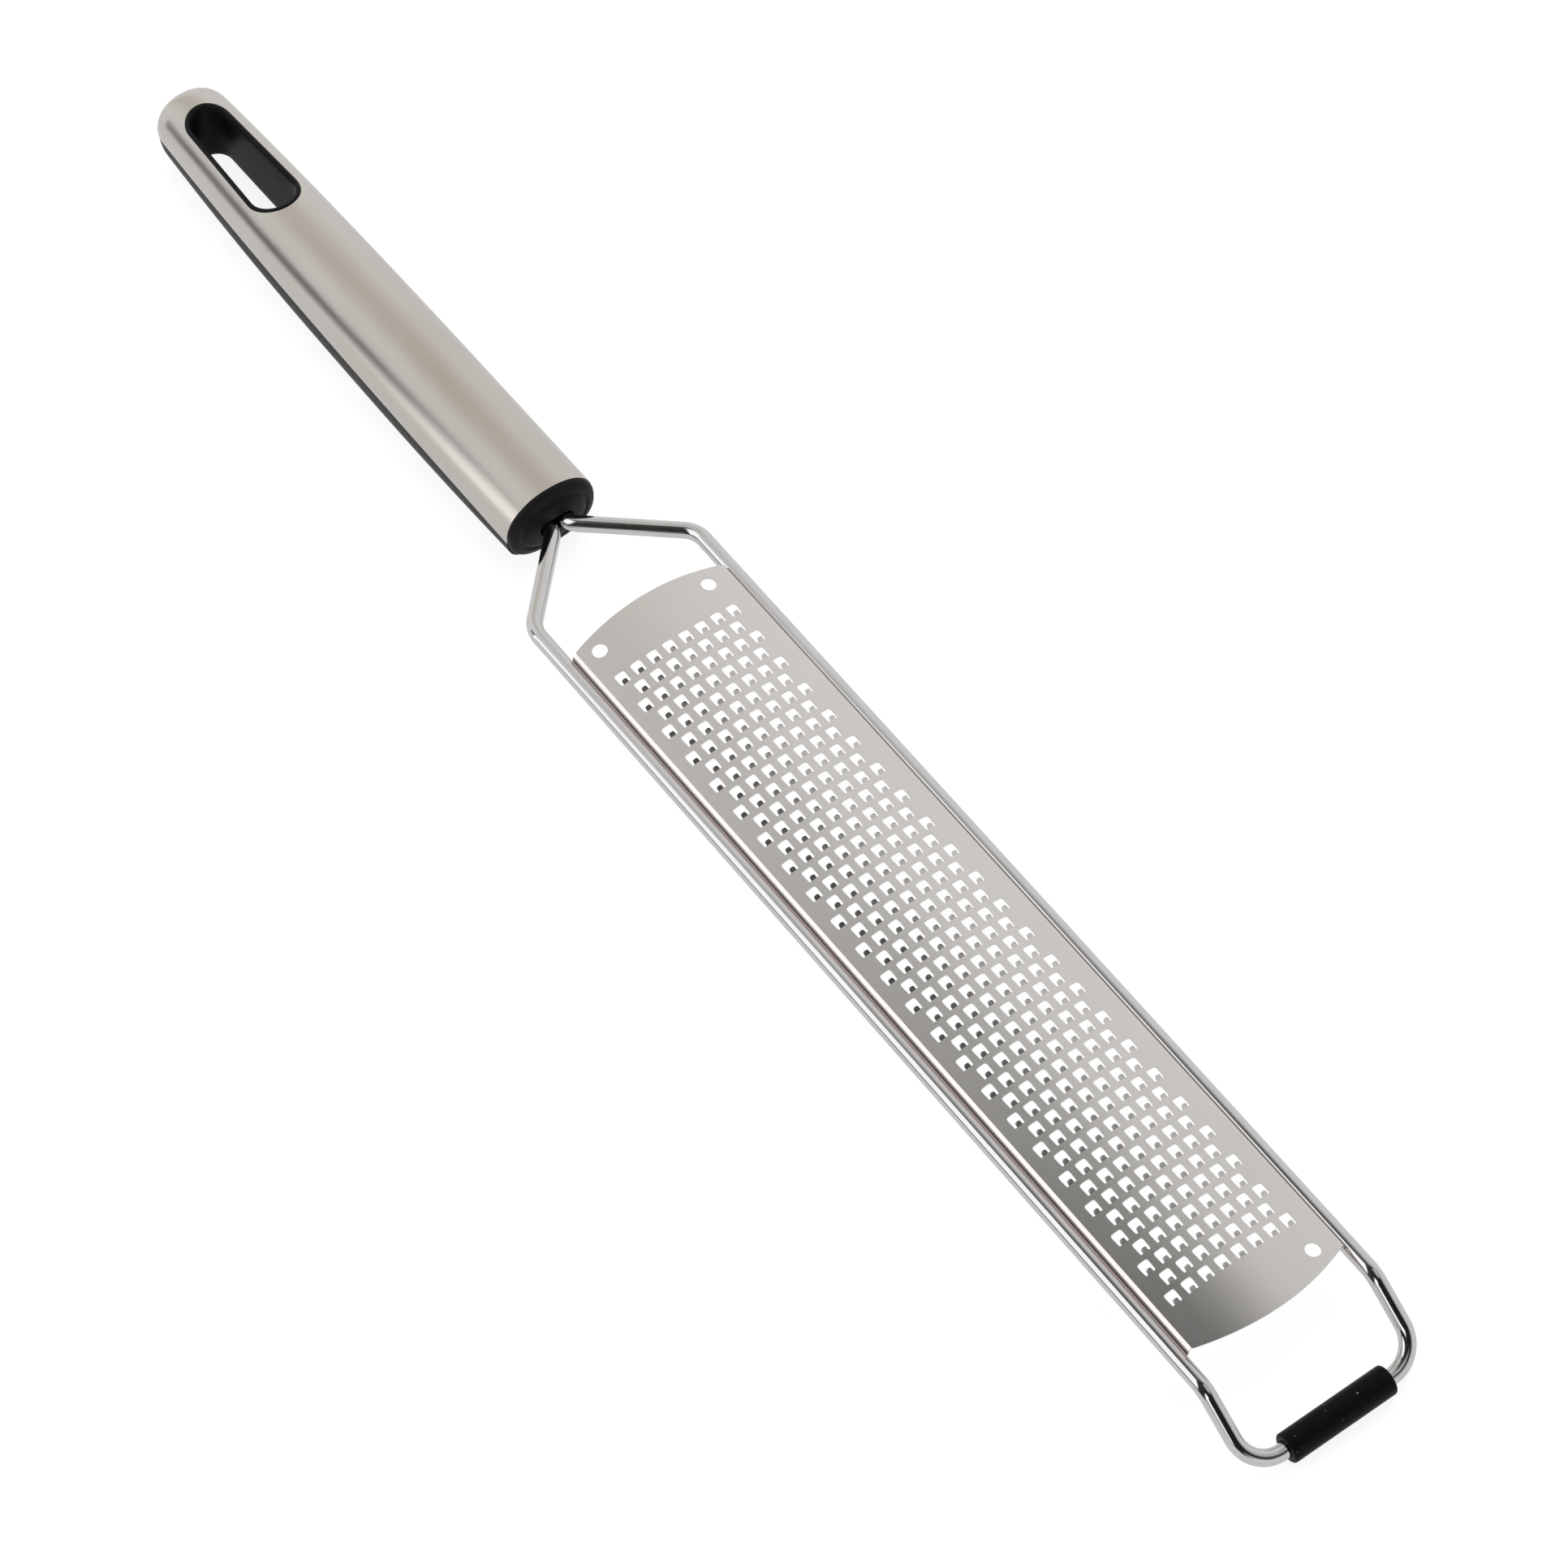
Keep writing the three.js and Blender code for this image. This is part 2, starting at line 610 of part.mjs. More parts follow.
// A block that holds everything of the handle between two heights
function handleBlock(low, high) {
  const length = HANDLE_LENGTH + 2 * HANDLE_FRONT_WIDTH;
  const block = new THREE.BoxGeometry(length, 2 * HANDLE_FRONT_WIDTH, high - low);
  return solidOf(block.translate((handleFrontX + buttX) / 2, 0, (low + high) / 2));
}

function handleShell() {
  const bare = handleForm(0, 0).subtract(handleForm(-OVERRUN, SHELL_WALL));
  const upper = bare.intersect(handleBlock(SEAM_HEIGHT, 2 * HANDLE_FRONT_TOP));
  return geometryOf(upper.subtract(slotColumn(FIT_GAP, 0, 0)));
}

// The length of the handle that the plug takes up, with its clearance behind
function plugSpace() {
  const depth = PLUG_DEPTH + FIT_GAP;
  const length = depth + OVERRUN;
  const block = new THREE.BoxGeometry(length, 2 * HANDLE_FRONT_WIDTH, 2 * HANDLE_FRONT_TOP);
  return solidOf(block.translate(handleFrontX - depth + length / 2, 0, HANDLE_FRONT_MIDLINE));
}

// The base is the underside of the handle with a core that fills the shell behind the plug
function handleBase() {
  const under = handleForm(0, BASE_STEP_IN).intersect(handleBlock(0, SEAM_HEIGHT - SEAM_GAP));
  const coreBottom = SEAM_HEIGHT - SEAM_GAP - CORE_OVERLAP;
  const aboveSeam = handleBlock(coreBottom, 2 * HANDLE_FRONT_TOP);
  const core = handleForm(PLUG_DEPTH + FIT_GAP, SHELL_WALL + FIT_GAP).intersect(aboveSeam);
  const socket = handleForm(-OVERRUN, SHELL_WALL).intersect(plugSpace());
  return geometryOf(under.subtract(socket).add(core).subtract(slotColumn(FIT_GAP, 0, 0)));
}

// The plug fills the front of the handle behind a bulged oval face, with one mouth for both wire ends
function frontPlug() {
  const inset = SHELL_WALL + FIT_GAP;
  const rings = [handleRing(PLUG_DEPTH, inset, 1), handleRing(0, inset, 1)];
  for (let step = 1; step <= PLUG_STEPS; step += 1) {
    const share = (PLUG_FACE_SHARE * step) / PLUG_STEPS;
    const ring = handleRing(0, inset, Math.sqrt(1 - share * share));
    const faceX = handleFrontX + (PLUG_BULGE * step) / PLUG_STEPS;
    rings.push(ring.map((point) => point.setX(faceX)));
  }
  const mouthRadius = wireRadius + MOUTH_CLEARANCE;
  const mouth = new THREE.Shape();
  mouth.absarc(rootSide, 0, mouthRadius, -Math.PI / 2, Math.PI / 2);
  mouth.absarc(-rootSide, 0, mouthRadius, Math.PI / 2, (3 * Math.PI) / 2);
  const depth = WIRE_INSERT + MOUTH_BOTTOM_GAP;
  const cut = new THREE.ExtrudeGeometry(mouth, {
    depth: depth + PLUG_BULGE + OVERRUN,
    curveSegments: MOUTH_SEGMENTS,
    bevelEnabled: false,
  });
  cut.rotateX(Math.PI / 2).rotateZ(Math.PI / 2).translate(handleFrontX - depth, 0, rootHeight);
  return geometryOf(solidOf(loft(rings)).subtract(solidOf(cut)));
}

// The liner stands a little proud of the handle above and below
function hangSlotLiner() {
  const wall = slotColumn(0, 0, 0).subtract(slotColumn(-LINER_WALL, LINER_DRAFT, LINER_BUTT_DRAFT));
  const proud = handleForm(0, -LINER_LIP).intersect(handleBlock(0, 2 * HANDLE_FRONT_TOP));
  return geometryOf(wall.intersect(proud));
}

const satinSteel = { color: 0xbcb7b0, roughness: 0.38, metalness: 1 };
const polishedSteel = { color: 0xc9c8c6, roughness: 0.12, metalness: 1 };
const blackPlastic = { color: 0x1a1a1c, roughness: 0.42, metalness: 0 };
const blackRubber = { color: 0x101011, roughness: 0.6, metalness: 0 };

const group = new THREE.Group();
group.name = 'zest_grater';

function addPiece(name, geometry, finish) {
  const mesh = new THREE.Mesh(weld(geometry), new THREE.MeshStandardMaterial(finish));
  mesh.name = name;
  group.add(mesh);
}

addPiece('grater_plate', graterPlate(), satinSteel);
addPiece('frame_wire', frameWire(), polishedSteel);
addPiece('foot_sleeve', footSleeve(), blackRubber);
addPiece('handle_shell', handleShell(), satinSteel);
addPiece('handle_base', handleBase(), blackPlastic);
addPiece('front_plug', frontPlug(), blackPlastic);
addPiece('hang_slot_liner', hangSlotLiner(), blackPlastic);

// The origin lies on the table under the middle of the tool
const box = new THREE.Box3().setFromObject(group);
const middle = box.getCenter(new THREE.Vector3());
for (const mesh of group.children) {
  mesh.geometry.translate(-middle.x, -middle.y, -box.min.z);
  mesh.geometry.computeVertexNormals();
}

export default group;
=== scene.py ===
"""Looks of the zest grater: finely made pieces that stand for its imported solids, their finishes,
the studio and the camera. Shapes are worked out in millimetres and stored in metres."""

import bpy
import numpy as np
from mathutils import Matrix, Vector


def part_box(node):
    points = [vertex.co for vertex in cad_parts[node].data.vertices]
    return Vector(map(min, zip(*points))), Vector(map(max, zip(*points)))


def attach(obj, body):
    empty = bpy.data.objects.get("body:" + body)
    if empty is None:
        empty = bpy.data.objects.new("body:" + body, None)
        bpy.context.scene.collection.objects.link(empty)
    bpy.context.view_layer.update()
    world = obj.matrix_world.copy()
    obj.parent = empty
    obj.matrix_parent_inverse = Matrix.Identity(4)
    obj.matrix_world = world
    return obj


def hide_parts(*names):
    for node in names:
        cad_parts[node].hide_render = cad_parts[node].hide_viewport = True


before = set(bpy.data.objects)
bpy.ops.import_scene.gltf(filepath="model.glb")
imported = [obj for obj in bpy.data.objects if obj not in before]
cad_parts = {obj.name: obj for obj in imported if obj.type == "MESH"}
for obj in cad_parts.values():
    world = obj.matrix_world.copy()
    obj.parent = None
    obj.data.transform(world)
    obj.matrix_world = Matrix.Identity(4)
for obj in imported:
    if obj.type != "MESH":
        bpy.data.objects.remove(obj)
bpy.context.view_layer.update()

MM = 0.001

# Teeth, in the flat pattern of the sheet
TOOTH_ROWS = 45
TEETH_IN_WIDE_ROW = 8
PITCH_ALONG = 3.72
PITCH_ACROSS = 3.7
FIELD_SHIFT_ALONG = 0.32
FIELD_SHIFT_ACROSS = -0.6
OPENING_HALF_LENGTH = 1.33
OPENING_FRONT_HALF = 1.18
OPENING_REAR_HALF = 1.08
OPENING_FRONT_SQUARENESS, OPENING_REAR_SQUARENESS = 7, 30
OPENING_FRONT_BOW = 0.04
OPENING_SPREAD = 0.85
TONGUE_REACH = 0.9
TONGUE_RISE = 0.22
TONGUE_TAPER = 0.875
TONGUE_TIP_ROUND = 0.16
TONGUE_TIP_THICKNESS = 0.14
TONGUE_ROWS = 0, 0.3, 0.6, 0.85, 1

# Plate
SHEET_THICKNESS = 0.3
END_MARGIN = 9.95
PLATE_HALF_WIDTH = 17.6
CROWN_RADIUS = 88.0
FOLD_RADIUS, FOLD_LEAN, FOLD_LENGTH = 0.5, np.radians(44), 0.6
EDGE_RADIUS, FLANGE_LEAN, FLANGE_FOOT = 0.35, np.radians(79), 13.66
FLANGE_END_RELIEF = 0.15
# Heights over which the flanges go from a painted dark brown shade, for the crevice between flange and wire,
# to the bare sheet
CREVICE_SHADE_HEIGHTS = 14.15, 14.45
HANDLE_END_BOW = 2.2
FOOT_END_BOW = 3.3
HOLE_RADIUS = 1.5
HANDLE_HOLES_BACK = 2.7
FOOT_HOLE_BACK = 2.3
HOLE_SPREAD = 25.4

# Wire and foot
WIRE_RADIUS = 1.63
WIRE_HEIGHT = 12.55
CROWN_ABOVE_WIRE = 4.52
WIRE_SIDE = 19.08
SHOULDER_FROM_PLATE = 10.8
SHOULDER_BEND = 6.0
NECK_LENGTH = 21.0
ROOT_REACH = 3.3
ROOT_BEND = 4.5
ROOT_GAP = 0.5
WIRE_INSERT = 11.5
FRONT_RUN = 6.3
FRONT_BEND = 6.0
FOOT_REACH = 14.1
SLEEVE_RADIUS = 3.0
SLEEVE_LENGTH = 23.1
SLEEVE_EDGE = 0.5
SLEEVE_BORE = 1.7
SLEEVE_END_SPACE = 0.85
SLEEVE_CHAMFER_RISE, SLEEVE_CHAMFER_DEPTH = 0.12, 0.15

# Handle
HANDLE_LENGTH = 128.8
FRONT_WIDTH, BUTT_WIDTH = 20.1, 15.4
FRONT_TOP, BUTT_TOP = 18.35, 14.6
FRONT_BOTTOM, BUTT_BOTTOM = 1.75, 2.2
BELLY_BELOW_TABLE, BELLY_START, BELLY_LENGTH = 1.2, 44.0, 30.0
FRONT_MIDLINE, BUTT_MIDLINE = 9.75, 8.75
UPPER_SQUARENESS, LOWER_SQUARENESS, BUTT_SQUARENESS = 2.12, 3.2, 3.1
WIDTH_TAPER_POWER, BELLY_RISE_POWER = 3.2, 1.6
BUTT_ROUND, BUTT_LEAN, BUTT_CAP_SHARE = 7.0, 0.26, 0.99
SEAM_HEIGHT, SEAM_GAP = 8.55, 0.4
SHELL_WALL, BASE_STEP_IN, BASE_WALL = 0.9, 0.1, 2.0
FRONT_SETBACK = 0.5
PLUG_INSET, PLUG_BULGE, PLUG_DEPTH = 0.12, 2.0, 13.0
PLUG_LOWER_SQUARENESS, PLUG_STEM, PLUG_STEPS = 2.5, 0.84, 128
PLUG_BACK_SHARE, PLUG_RIM_SHARE, PLUG_RIM_LIFT, PLUG_RIM_RISE, PLUG_TOP_SPACE = 0.985, 0.15, 0.1, 1.25, 0.03
PLUG_GROOVE_DEPTH, PLUG_GROOVE_SHARE, PLUG_GROOVE_WIDTH = 0.4, 0.6, 0.08
MOUTH_CLEARANCE, MOUTH_DEPTH = 0.25, 5.0

# Hanging slot
SLOT_LENGTH = 32.65
SLOT_FRONT_RADIUS, SLOT_BUTT_RADIUS = 5.65, 4.825
SLOT_FROM_BUTT = 7.35
SLOT_CLEARANCE = 0.1
LINER_WALL, LINER_DRAFT, LINER_BUTT_DRAFT = 0.95, 0.3, 1.0

# Sizes that follow from these
plate_half_length = (TOOTH_ROWS - 1) * PITCH_ALONG / 2 + END_MARGIN
flange_half_length = plate_half_length - FLANGE_END_RELIEF
first_row = FIELD_SHIFT_ALONG - (TOOTH_ROWS - 1) * PITCH_ALONG / 2
crown_height = WIRE_HEIGHT + CROWN_ABOVE_WIRE
fold_reach = (FOLD_RADIUS - EDGE_RADIUS) * np.sin(FOLD_LEAN) + FOLD_LENGTH * np.cos(FOLD_LEAN) + EDGE_RADIUS
crown_lean = np.arcsin((PLATE_HALF_WIDTH - fold_reach) / (CROWN_RADIUS - FOLD_RADIUS))
edge_drop = (
    CROWN_RADIUS * (1 - np.cos(crown_lean)) + FOLD_RADIUS * (np.cos(crown_lean) - np.cos(FOLD_LEAN))
    + FOLD_LENGTH * np.sin(FOLD_LEAN) + EDGE_RADIUS * (np.cos(FOLD_LEAN) - np.cos(FLANGE_LEAN))
)
sheet_stretches = np.cumsum([
    0,
    CROWN_RADIUS * crown_lean,
    FOLD_RADIUS * (FOLD_LEAN - crown_lean),
    FOLD_LENGTH,
    EDGE_RADIUS * (FLANGE_LEAN - FOLD_LEAN),
    (crown_height - edge_drop - FLANGE_FOOT) / np.sin(FLANGE_LEAN),
])
sheet_leans = [0, crown_lean, FOLD_LEAN, FOLD_LEAN, FLANGE_LEAN, FLANGE_LEAN]
flat_half_width = sheet_stretches[1]
root_side = WIRE_RADIUS + ROOT_GAP / 2
plate_low, plate_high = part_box("grater_plate")
plate_x = (plate_low.x + plate_high.x) / 2 / MM - (FOOT_END_BOW - HANDLE_END_BOW) / 2
shoulder_x = plate_x - plate_half_length - SHOULDER_FROM_PLATE
handle_front_x = shoulder_x - NECK_LENGTH
front_bend_x = plate_x + plate_half_length + FRONT_RUN
foot_x = front_bend_x + FOOT_REACH
foot_corner_bend = WIRE_SIDE - SLEEVE_LENGTH / 2 - SLEEVE_END_SPACE
butt_x = handle_front_x - HANDLE_LENGTH
round_start = HANDLE_LENGTH - BUTT_ROUND


def unit(vectors):
    """Vectors divided by their lengths."""
    return vectors / np.linalg.norm(vectors, axis=-1, keepdims=True)


def quads_of(points):
    """The quads between neighbours in a grid of points: (rows, columns, values) to (quads, 4, values)."""
    corners = [points[:-1, :-1], points[1:, :-1], points[1:, 1:], points[:-1, 1:]]
    return np.stack(corners, 2).reshape(-1, 4, points.shape[-1])


def grid(first, second):
    """The quads of a straight grid over two rows of values."""
    return quads_of(np.stack(np.meshgrid(first, second, indexing="ij"), -1))


def ring_quads(outer, inner, steps=1):
    """The quads of a flat ring between an outer loop and an inner one, in equal steps."""
    share = np.linspace(0, 1, steps + 1)[None, :, None]
    points = outer[:, None] * (1 - share) + inner[:, None] * share
    return quads_of(np.concatenate([points, points[:1]]))


def ramp(start, end, steps):
    """Rows of values that go from one row to another in equal steps, both ends included."""
    share = np.linspace(0, 1, steps + 1)[:, None]
    return np.asarray(start) * (1 - share) + np.asarray(end) * share


def skin(corners, place):
    """A sheet with two faces: its quads' corners, as parameters, placed on side 0 and on side 1, with a
    wall along each edge that only one quad has."""
    flat = corners.reshape(-1, corners.shape[-1])
    _, first, which = np.unique(np.round(flat, 4), axis=0, return_index=True, return_inverse=True)
    params, quads = flat[first], which.reshape(-1, 4)
    count = len(params)
    edges = np.stack([quads, np.roll(quads, -1, 1)], -1).reshape(-1, 2)
    alone = ~np.isin(edges[:, 0] * count + edges[:, 1], edges[:, 1] * count + edges[:, 0])
    start, end = edges[alone].T
    walls = np.stack([start, start + count, end + count, end], 1)
    points = np.concatenate([place(params, 0), place(params, 1)])
    return points, np.concatenate([quads, quads[:, ::-1] + count, walls])


def wrap(rings, closed=False):
    """Rings of points joined into a surface that closes round each ring, and from last to first if closed."""
    rows, columns = rings.shape[:2]
    ids = np.arange(rows * columns).reshape(rows, columns)
    here = ids if closed else ids[:-1]
    there = np.roll(ids, -1, 0) if closed else ids[1:]
    corners = [here, there, np.roll(there, -1, 1), np.roll(here, -1, 1)]
    return rings.reshape(-1, 3), np.stack(corners, -1).reshape(-1, 4)


def make_piece(name, shape, finish, node, sharp=0.6, bevel=None):
    """A piece from points and four-cornered faces: coincident points are merged, pinched faces become
    triangles, and faces are turned outwards by the sign of the enclosed volume."""
    points, faces = shape
    _, first, which = np.unique(np.round(points, 4), axis=0, return_index=True, return_inverse=True)
    points, faces = points[first], which.reshape(-1)[faces]
    pinched = faces == np.roll(faces, -1, 1)
    quads = faces[~pinched.any(1)]
    once = pinched.sum(1) == 1
    triangles = faces[once][~pinched[once]].reshape(-1, 3)
    a, b, c, d = (points[quads[:, i]] for i in range(4))
    e, f, g = (points[triangles[:, i]] for i in range(3))
    volume = (a * np.cross(b, c)).sum() + (a * np.cross(c, d)).sum() + (e * np.cross(f, g)).sum()
    if volume < 0:
        quads, triangles = quads[:, ::-1], triangles[:, ::-1]
    mesh = bpy.data.meshes.new(name)
    mesh.from_pydata((points * MM).tolist(), [], quads.tolist() + triangles.tolist())
    mesh.polygons.foreach_set("use_smooth", np.ones(len(mesh.polygons), bool))
    mesh.set_sharp_from_angle(angle=sharp)
    mesh.materials.append(finish)
    piece = bpy.data.objects.new(name, mesh)
    bpy.context.scene.collection.objects.link(piece)
    if bevel:
        edge = piece.modifiers.new("rounded_edges", "BEVEL")
        edge.width = bevel * MM
        edge.segments = 2
        edge.limit_method = "ANGLE"
        edge.angle_limit = sharp
        edge.harden_normals = True
    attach(piece, "root")
    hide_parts(node)
    return piece


# Plate

sheet_length = np.linspace(0, sheet_stretches[-1], 8001)
sheet_lean = np.interp(sheet_length, sheet_stretches, sheet_leans)
sheet_step = sheet_length[1]
half_lean = (sheet_lean[1:] + sheet_lean[:-1]) / 2
sheet_reach = np.concatenate([[0], np.cumsum(np.cos(half_lean))]) * sheet_step
sheet_drop = np.concatenate([[0], np.cumsum(np.sin(half_lean))]) * sheet_step


def on_sheet(params, side):
    """A point of the flat pattern on the finished sheet, whose lean grows evenly with the length over the
    crown and over each bend and stays the same over the fold's slope and the flange: its reach and drop
    are the running sums of the lean's cosine and sine. Depth goes inward from the outer face."""
    along, across, lift, thickness = params.T
    depth = side * thickness - lift
    reach, drop, lean = (
        np.interp(np.abs(across), sheet_length, row) for row in (sheet_reach, sheet_drop, sheet_lean)
    )
    y = np.sign(across) * (reach - depth * np.sin(lean))
    return np.stack([plate_x + along, y, crown_height - drop - depth * np.cos(lean)], 1)


CELL_STEPS_ACROSS = 8
CELL_STEPS_ALONG = 4


def square_loop(across_steps, along_steps):
    """The edge of a square from -1 to 1 as a loop of points, from its rear right corner round to the left."""
    across = np.linspace(-1, 1, across_steps + 1)[:-1]
    along = np.linspace(1, -1, along_steps + 1)[:-1]
    rear = np.stack([np.ones(across_steps), across], 1)
    left = np.stack([along, np.ones(along_steps)], 1)
    return np.concatenate([rear, left, -rear, -left])


def tooth_cell():
    """One tooth in the flat. Its opening is a rounded square, |p|^n + |q|^n = 1 stretched to size, with
    sharper corners at its rear; a ring of quads joins it to the cell's edges, and the tongue grows from
    the middle of its rear edge and rises evenly with its distance."""
    loop = square_loop(CELL_STEPS_ACROSS, CELL_STEPS_ALONG)
    edge = loop * (PITCH_ALONG / 2, PITCH_ACROSS / 2)
    p, q = np.sign(loop).T * np.abs(loop).T ** np.where(np.abs(loop).T < 1, OPENING_SPREAD, 1)
    n = np.where(p < 0, OPENING_FRONT_SQUARENESS, OPENING_REAR_SQUARENESS)
    shrink = (np.abs(p) ** n + np.abs(q) ** n) ** (-1 / n)
    p, q = p * shrink, q * shrink
    half = OPENING_FRONT_HALF + (OPENING_REAR_HALF - OPENING_FRONT_HALF) * (p + 1) / 2
    bow = np.where(p < -0.9, OPENING_FRONT_BOW * (1 - q * q), 0)
    opening = np.stack([p * OPENING_HALF_LENGTH - bow, q * half], 1)
    ring = ring_quads(edge, opening)
    middle = CELL_STEPS_ACROSS // 2
    root = opening[middle - 2 : middle + 3]
    share = np.array(TONGUE_ROWS)[:, None]
    across = root[None, :, 1] * (1 - (1 - TONGUE_TAPER) * share)
    corner = (np.abs(root[:, 1]) / np.abs(root[:, 1]).max()) ** 4
    along = root[None, :, 0] - TONGUE_REACH * share + TONGUE_TIP_ROUND * corner * share**4
    lift = np.broadcast_to(TONGUE_RISE * share, along.shape)
    thin = SHEET_THICKNESS + (TONGUE_TIP_THICKNESS - SHEET_THICKNESS) * share**2
    tongue = quads_of(np.stack([along, across, lift, np.broadcast_to(thin, along.shape)], -1))[:, ::-1]
    return np.concatenate([in_sheet(ring), tongue])


def in_sheet(quads):
    """Flat quads with no lift and the sheet's full thickness."""
    extra = np.broadcast_to((0, SHEET_THICKNESS), quads.shape[:-1] + (2,))
    return np.concatenate([quads, extra], -1)


MARGIN_STEPS = 3
HOLE_ROWS = 9
HOLE_WINDOW_BACK = 1.9
HOLE_WINDOW_BOW = 0.82
half_row = TEETH_IN_WIDE_ROW / 2
field_steps = np.linspace(-half_row, half_row, TEETH_IN_WIDE_ROW * CELL_STEPS_ACROSS + 1)
field_across = FIELD_SHIFT_ACROSS + field_steps * PITCH_ACROSS
left_margin = np.linspace(field_across[-1], flat_half_width, MARGIN_STEPS + 1)
right_margin = np.linspace(-flat_half_width, field_across[0], MARGIN_STEPS + 1)
field_along = first_row + (np.linspace(0, TOOTH_ROWS, TOOTH_ROWS * CELL_STEPS_ALONG + 1) - 0.5) * PITCH_ALONG


def plate_end(side, field_edge, bow, hole_back, hole_sides):
    """One plain end in the flat: rows of points from the last teeth out to an edge bowed as a parabola.
    A corner hole is a ring of quads between a circle and the window of the grid round it."""
    across = np.concatenate([right_margin, field_across[1:-1], left_margin])
    share = 1 - (across / flat_half_width) ** 2
    hole_along = plate_half_length - hole_back
    inner = np.full_like(across, field_edge)
    before = np.full_like(across, hole_along - HOLE_WINDOW_BACK)
    beyond = flange_half_length + HOLE_WINDOW_BOW * share
    outer = plate_half_length + bow * share
    rows = np.concatenate([
        ramp(inner, before, 3),
        ramp(before, beyond, HOLE_ROWS)[1:],
        ramp(beyond, outer, 3)[1:],
    ])
    points = np.stack([rows, np.broadcast_to(across, rows.shape)], -1)
    keep = np.ones((len(rows) - 1, len(across) - 1), bool)
    rings = []
    for hole_side in hole_sides:
        centre = np.array([hole_along, FIELD_SHIFT_ACROSS + hole_side * HOLE_SPREAD / 2])
        start = np.abs(across - centre[1] + HOLE_ROWS / 2 * PITCH_ACROSS / CELL_STEPS_ACROSS).argmin()
        keep[3 : 3 + HOLE_ROWS, start : start + HOLE_ROWS] = False
        window = points[3 : 4 + HOLE_ROWS, start : start + HOLE_ROWS + 1]
        loop = np.concatenate([window[:-1, 0], window[-1, :-1], window[:0:-1, -1], window[0, :0:-1]])
        circle = centre + HOLE_RADIUS * unit(loop - centre)
        rings.append(ring_quads(loop, circle, 2)[:, ::-1])
    quads = np.concatenate([quads_of(points)[keep.ravel()], *rings]) * (side, 1)
    return (quads if side > 0 else quads[:, ::-1]), rows[: 4 + HOLE_ROWS, 0]


def grater_plate():
    """The whole plate in the flat, as quads that share corners, laid on the finished sheet."""
    rows = np.arange(TOOTH_ROWS)
    wide_row = np.arange(TEETH_IN_WIDE_ROW) - half_row + 0.5
    wide = np.stack(np.meshgrid(rows[::2], wide_row, indexing="ij"), -1).reshape(-1, 2)
    narrow = np.stack(np.meshgrid(rows[1::2], wide_row[1:] - 0.5, indexing="ij"), -1).reshape(-1, 2)
    centres = np.concatenate([wide, narrow]) * (PITCH_ALONG, PITCH_ACROSS) + (first_row, FIELD_SHIFT_ACROSS)
    centres = np.concatenate([centres, np.zeros_like(centres)], 1)
    teeth = (tooth_cell()[None] + centres[:, None, None]).reshape(-1, 4, 4)
    blank = grid(
        np.linspace(-0.5, 0.5, CELL_STEPS_ALONG + 1) * PITCH_ALONG,
        np.linspace(half_row - 0.5, half_row, CELL_STEPS_ACROSS // 2 + 1) * PITCH_ACROSS,
    )
    blanks = np.concatenate([blank, blank - (0, (TEETH_IN_WIDE_ROW - 0.5) * PITCH_ACROSS)])
    starts = rows[1::2, None] * (PITCH_ALONG, 0) + (first_row, FIELD_SHIFT_ACROSS)
    blanks = (blanks[None] + starts[:, None, None]).reshape(-1, 4, 2)
    margins = [grid(field_along, right_margin), grid(field_along, left_margin)]
    foot_end, foot_rows = plate_end(1, field_along[-1], FOOT_END_BOW, FOOT_HOLE_BACK, [1])
    handle_end, handle_rows = plate_end(-1, -field_along[0], HANDLE_END_BOW, HANDLE_HOLES_BACK, [-1, 1])
    edge_along = np.concatenate([-handle_rows[::-1], field_along[1:-1], foot_rows])
    fold_across = np.concatenate([
        np.linspace(*sheet_stretches[1:3], 9)[:-1], np.linspace(*sheet_stretches[2:4], 4)[:-1],
        np.linspace(*sheet_stretches[3:5], 13)[:-1], np.linspace(*sheet_stretches[4:], 4),
    ])
    folds = [grid(edge_along, fold_across), grid(edge_along, -fold_across[::-1])]
    plain = np.concatenate([blanks, *margins, foot_end, handle_end, *folds])
    return skin(np.concatenate([teeth, in_sheet(plain)]), on_sheet)


# Wire and foot

BEND_STEPS = 16
WIRE_STEPS = 48


def bent_path(corners, radii):
    """Straight runs joined by arcs: each bend turns about a centre on the line that halves its corner."""
    before, corner, after = corners[:-2], corners[1:-1], corners[2:]
    to_before, to_after = unit(before - corner), unit(after - corner)
    half = np.arccos((to_before * to_after).sum(1)) / 2
    reach = (radii / np.tan(half))[:, None]
    centre = corner + unit(to_before + to_after) * (radii / np.sin(half))[:, None]
    start, end = corner + to_before * reach - centre, corner + to_after * reach - centre
    sweep = (np.pi - 2 * half)[:, None]
    turn = sweep * np.linspace(0, 1, BEND_STEPS + 1)
    weights = np.sin(sweep - turn) / np.sin(sweep), np.sin(turn) / np.sin(sweep)
    arcs = centre[:, None] + weights[0][..., None] * start[:, None] + weights[1][..., None] * end[:, None]
    return np.concatenate([corners[:1], arcs.reshape(-1, 3), corners[-1:]])


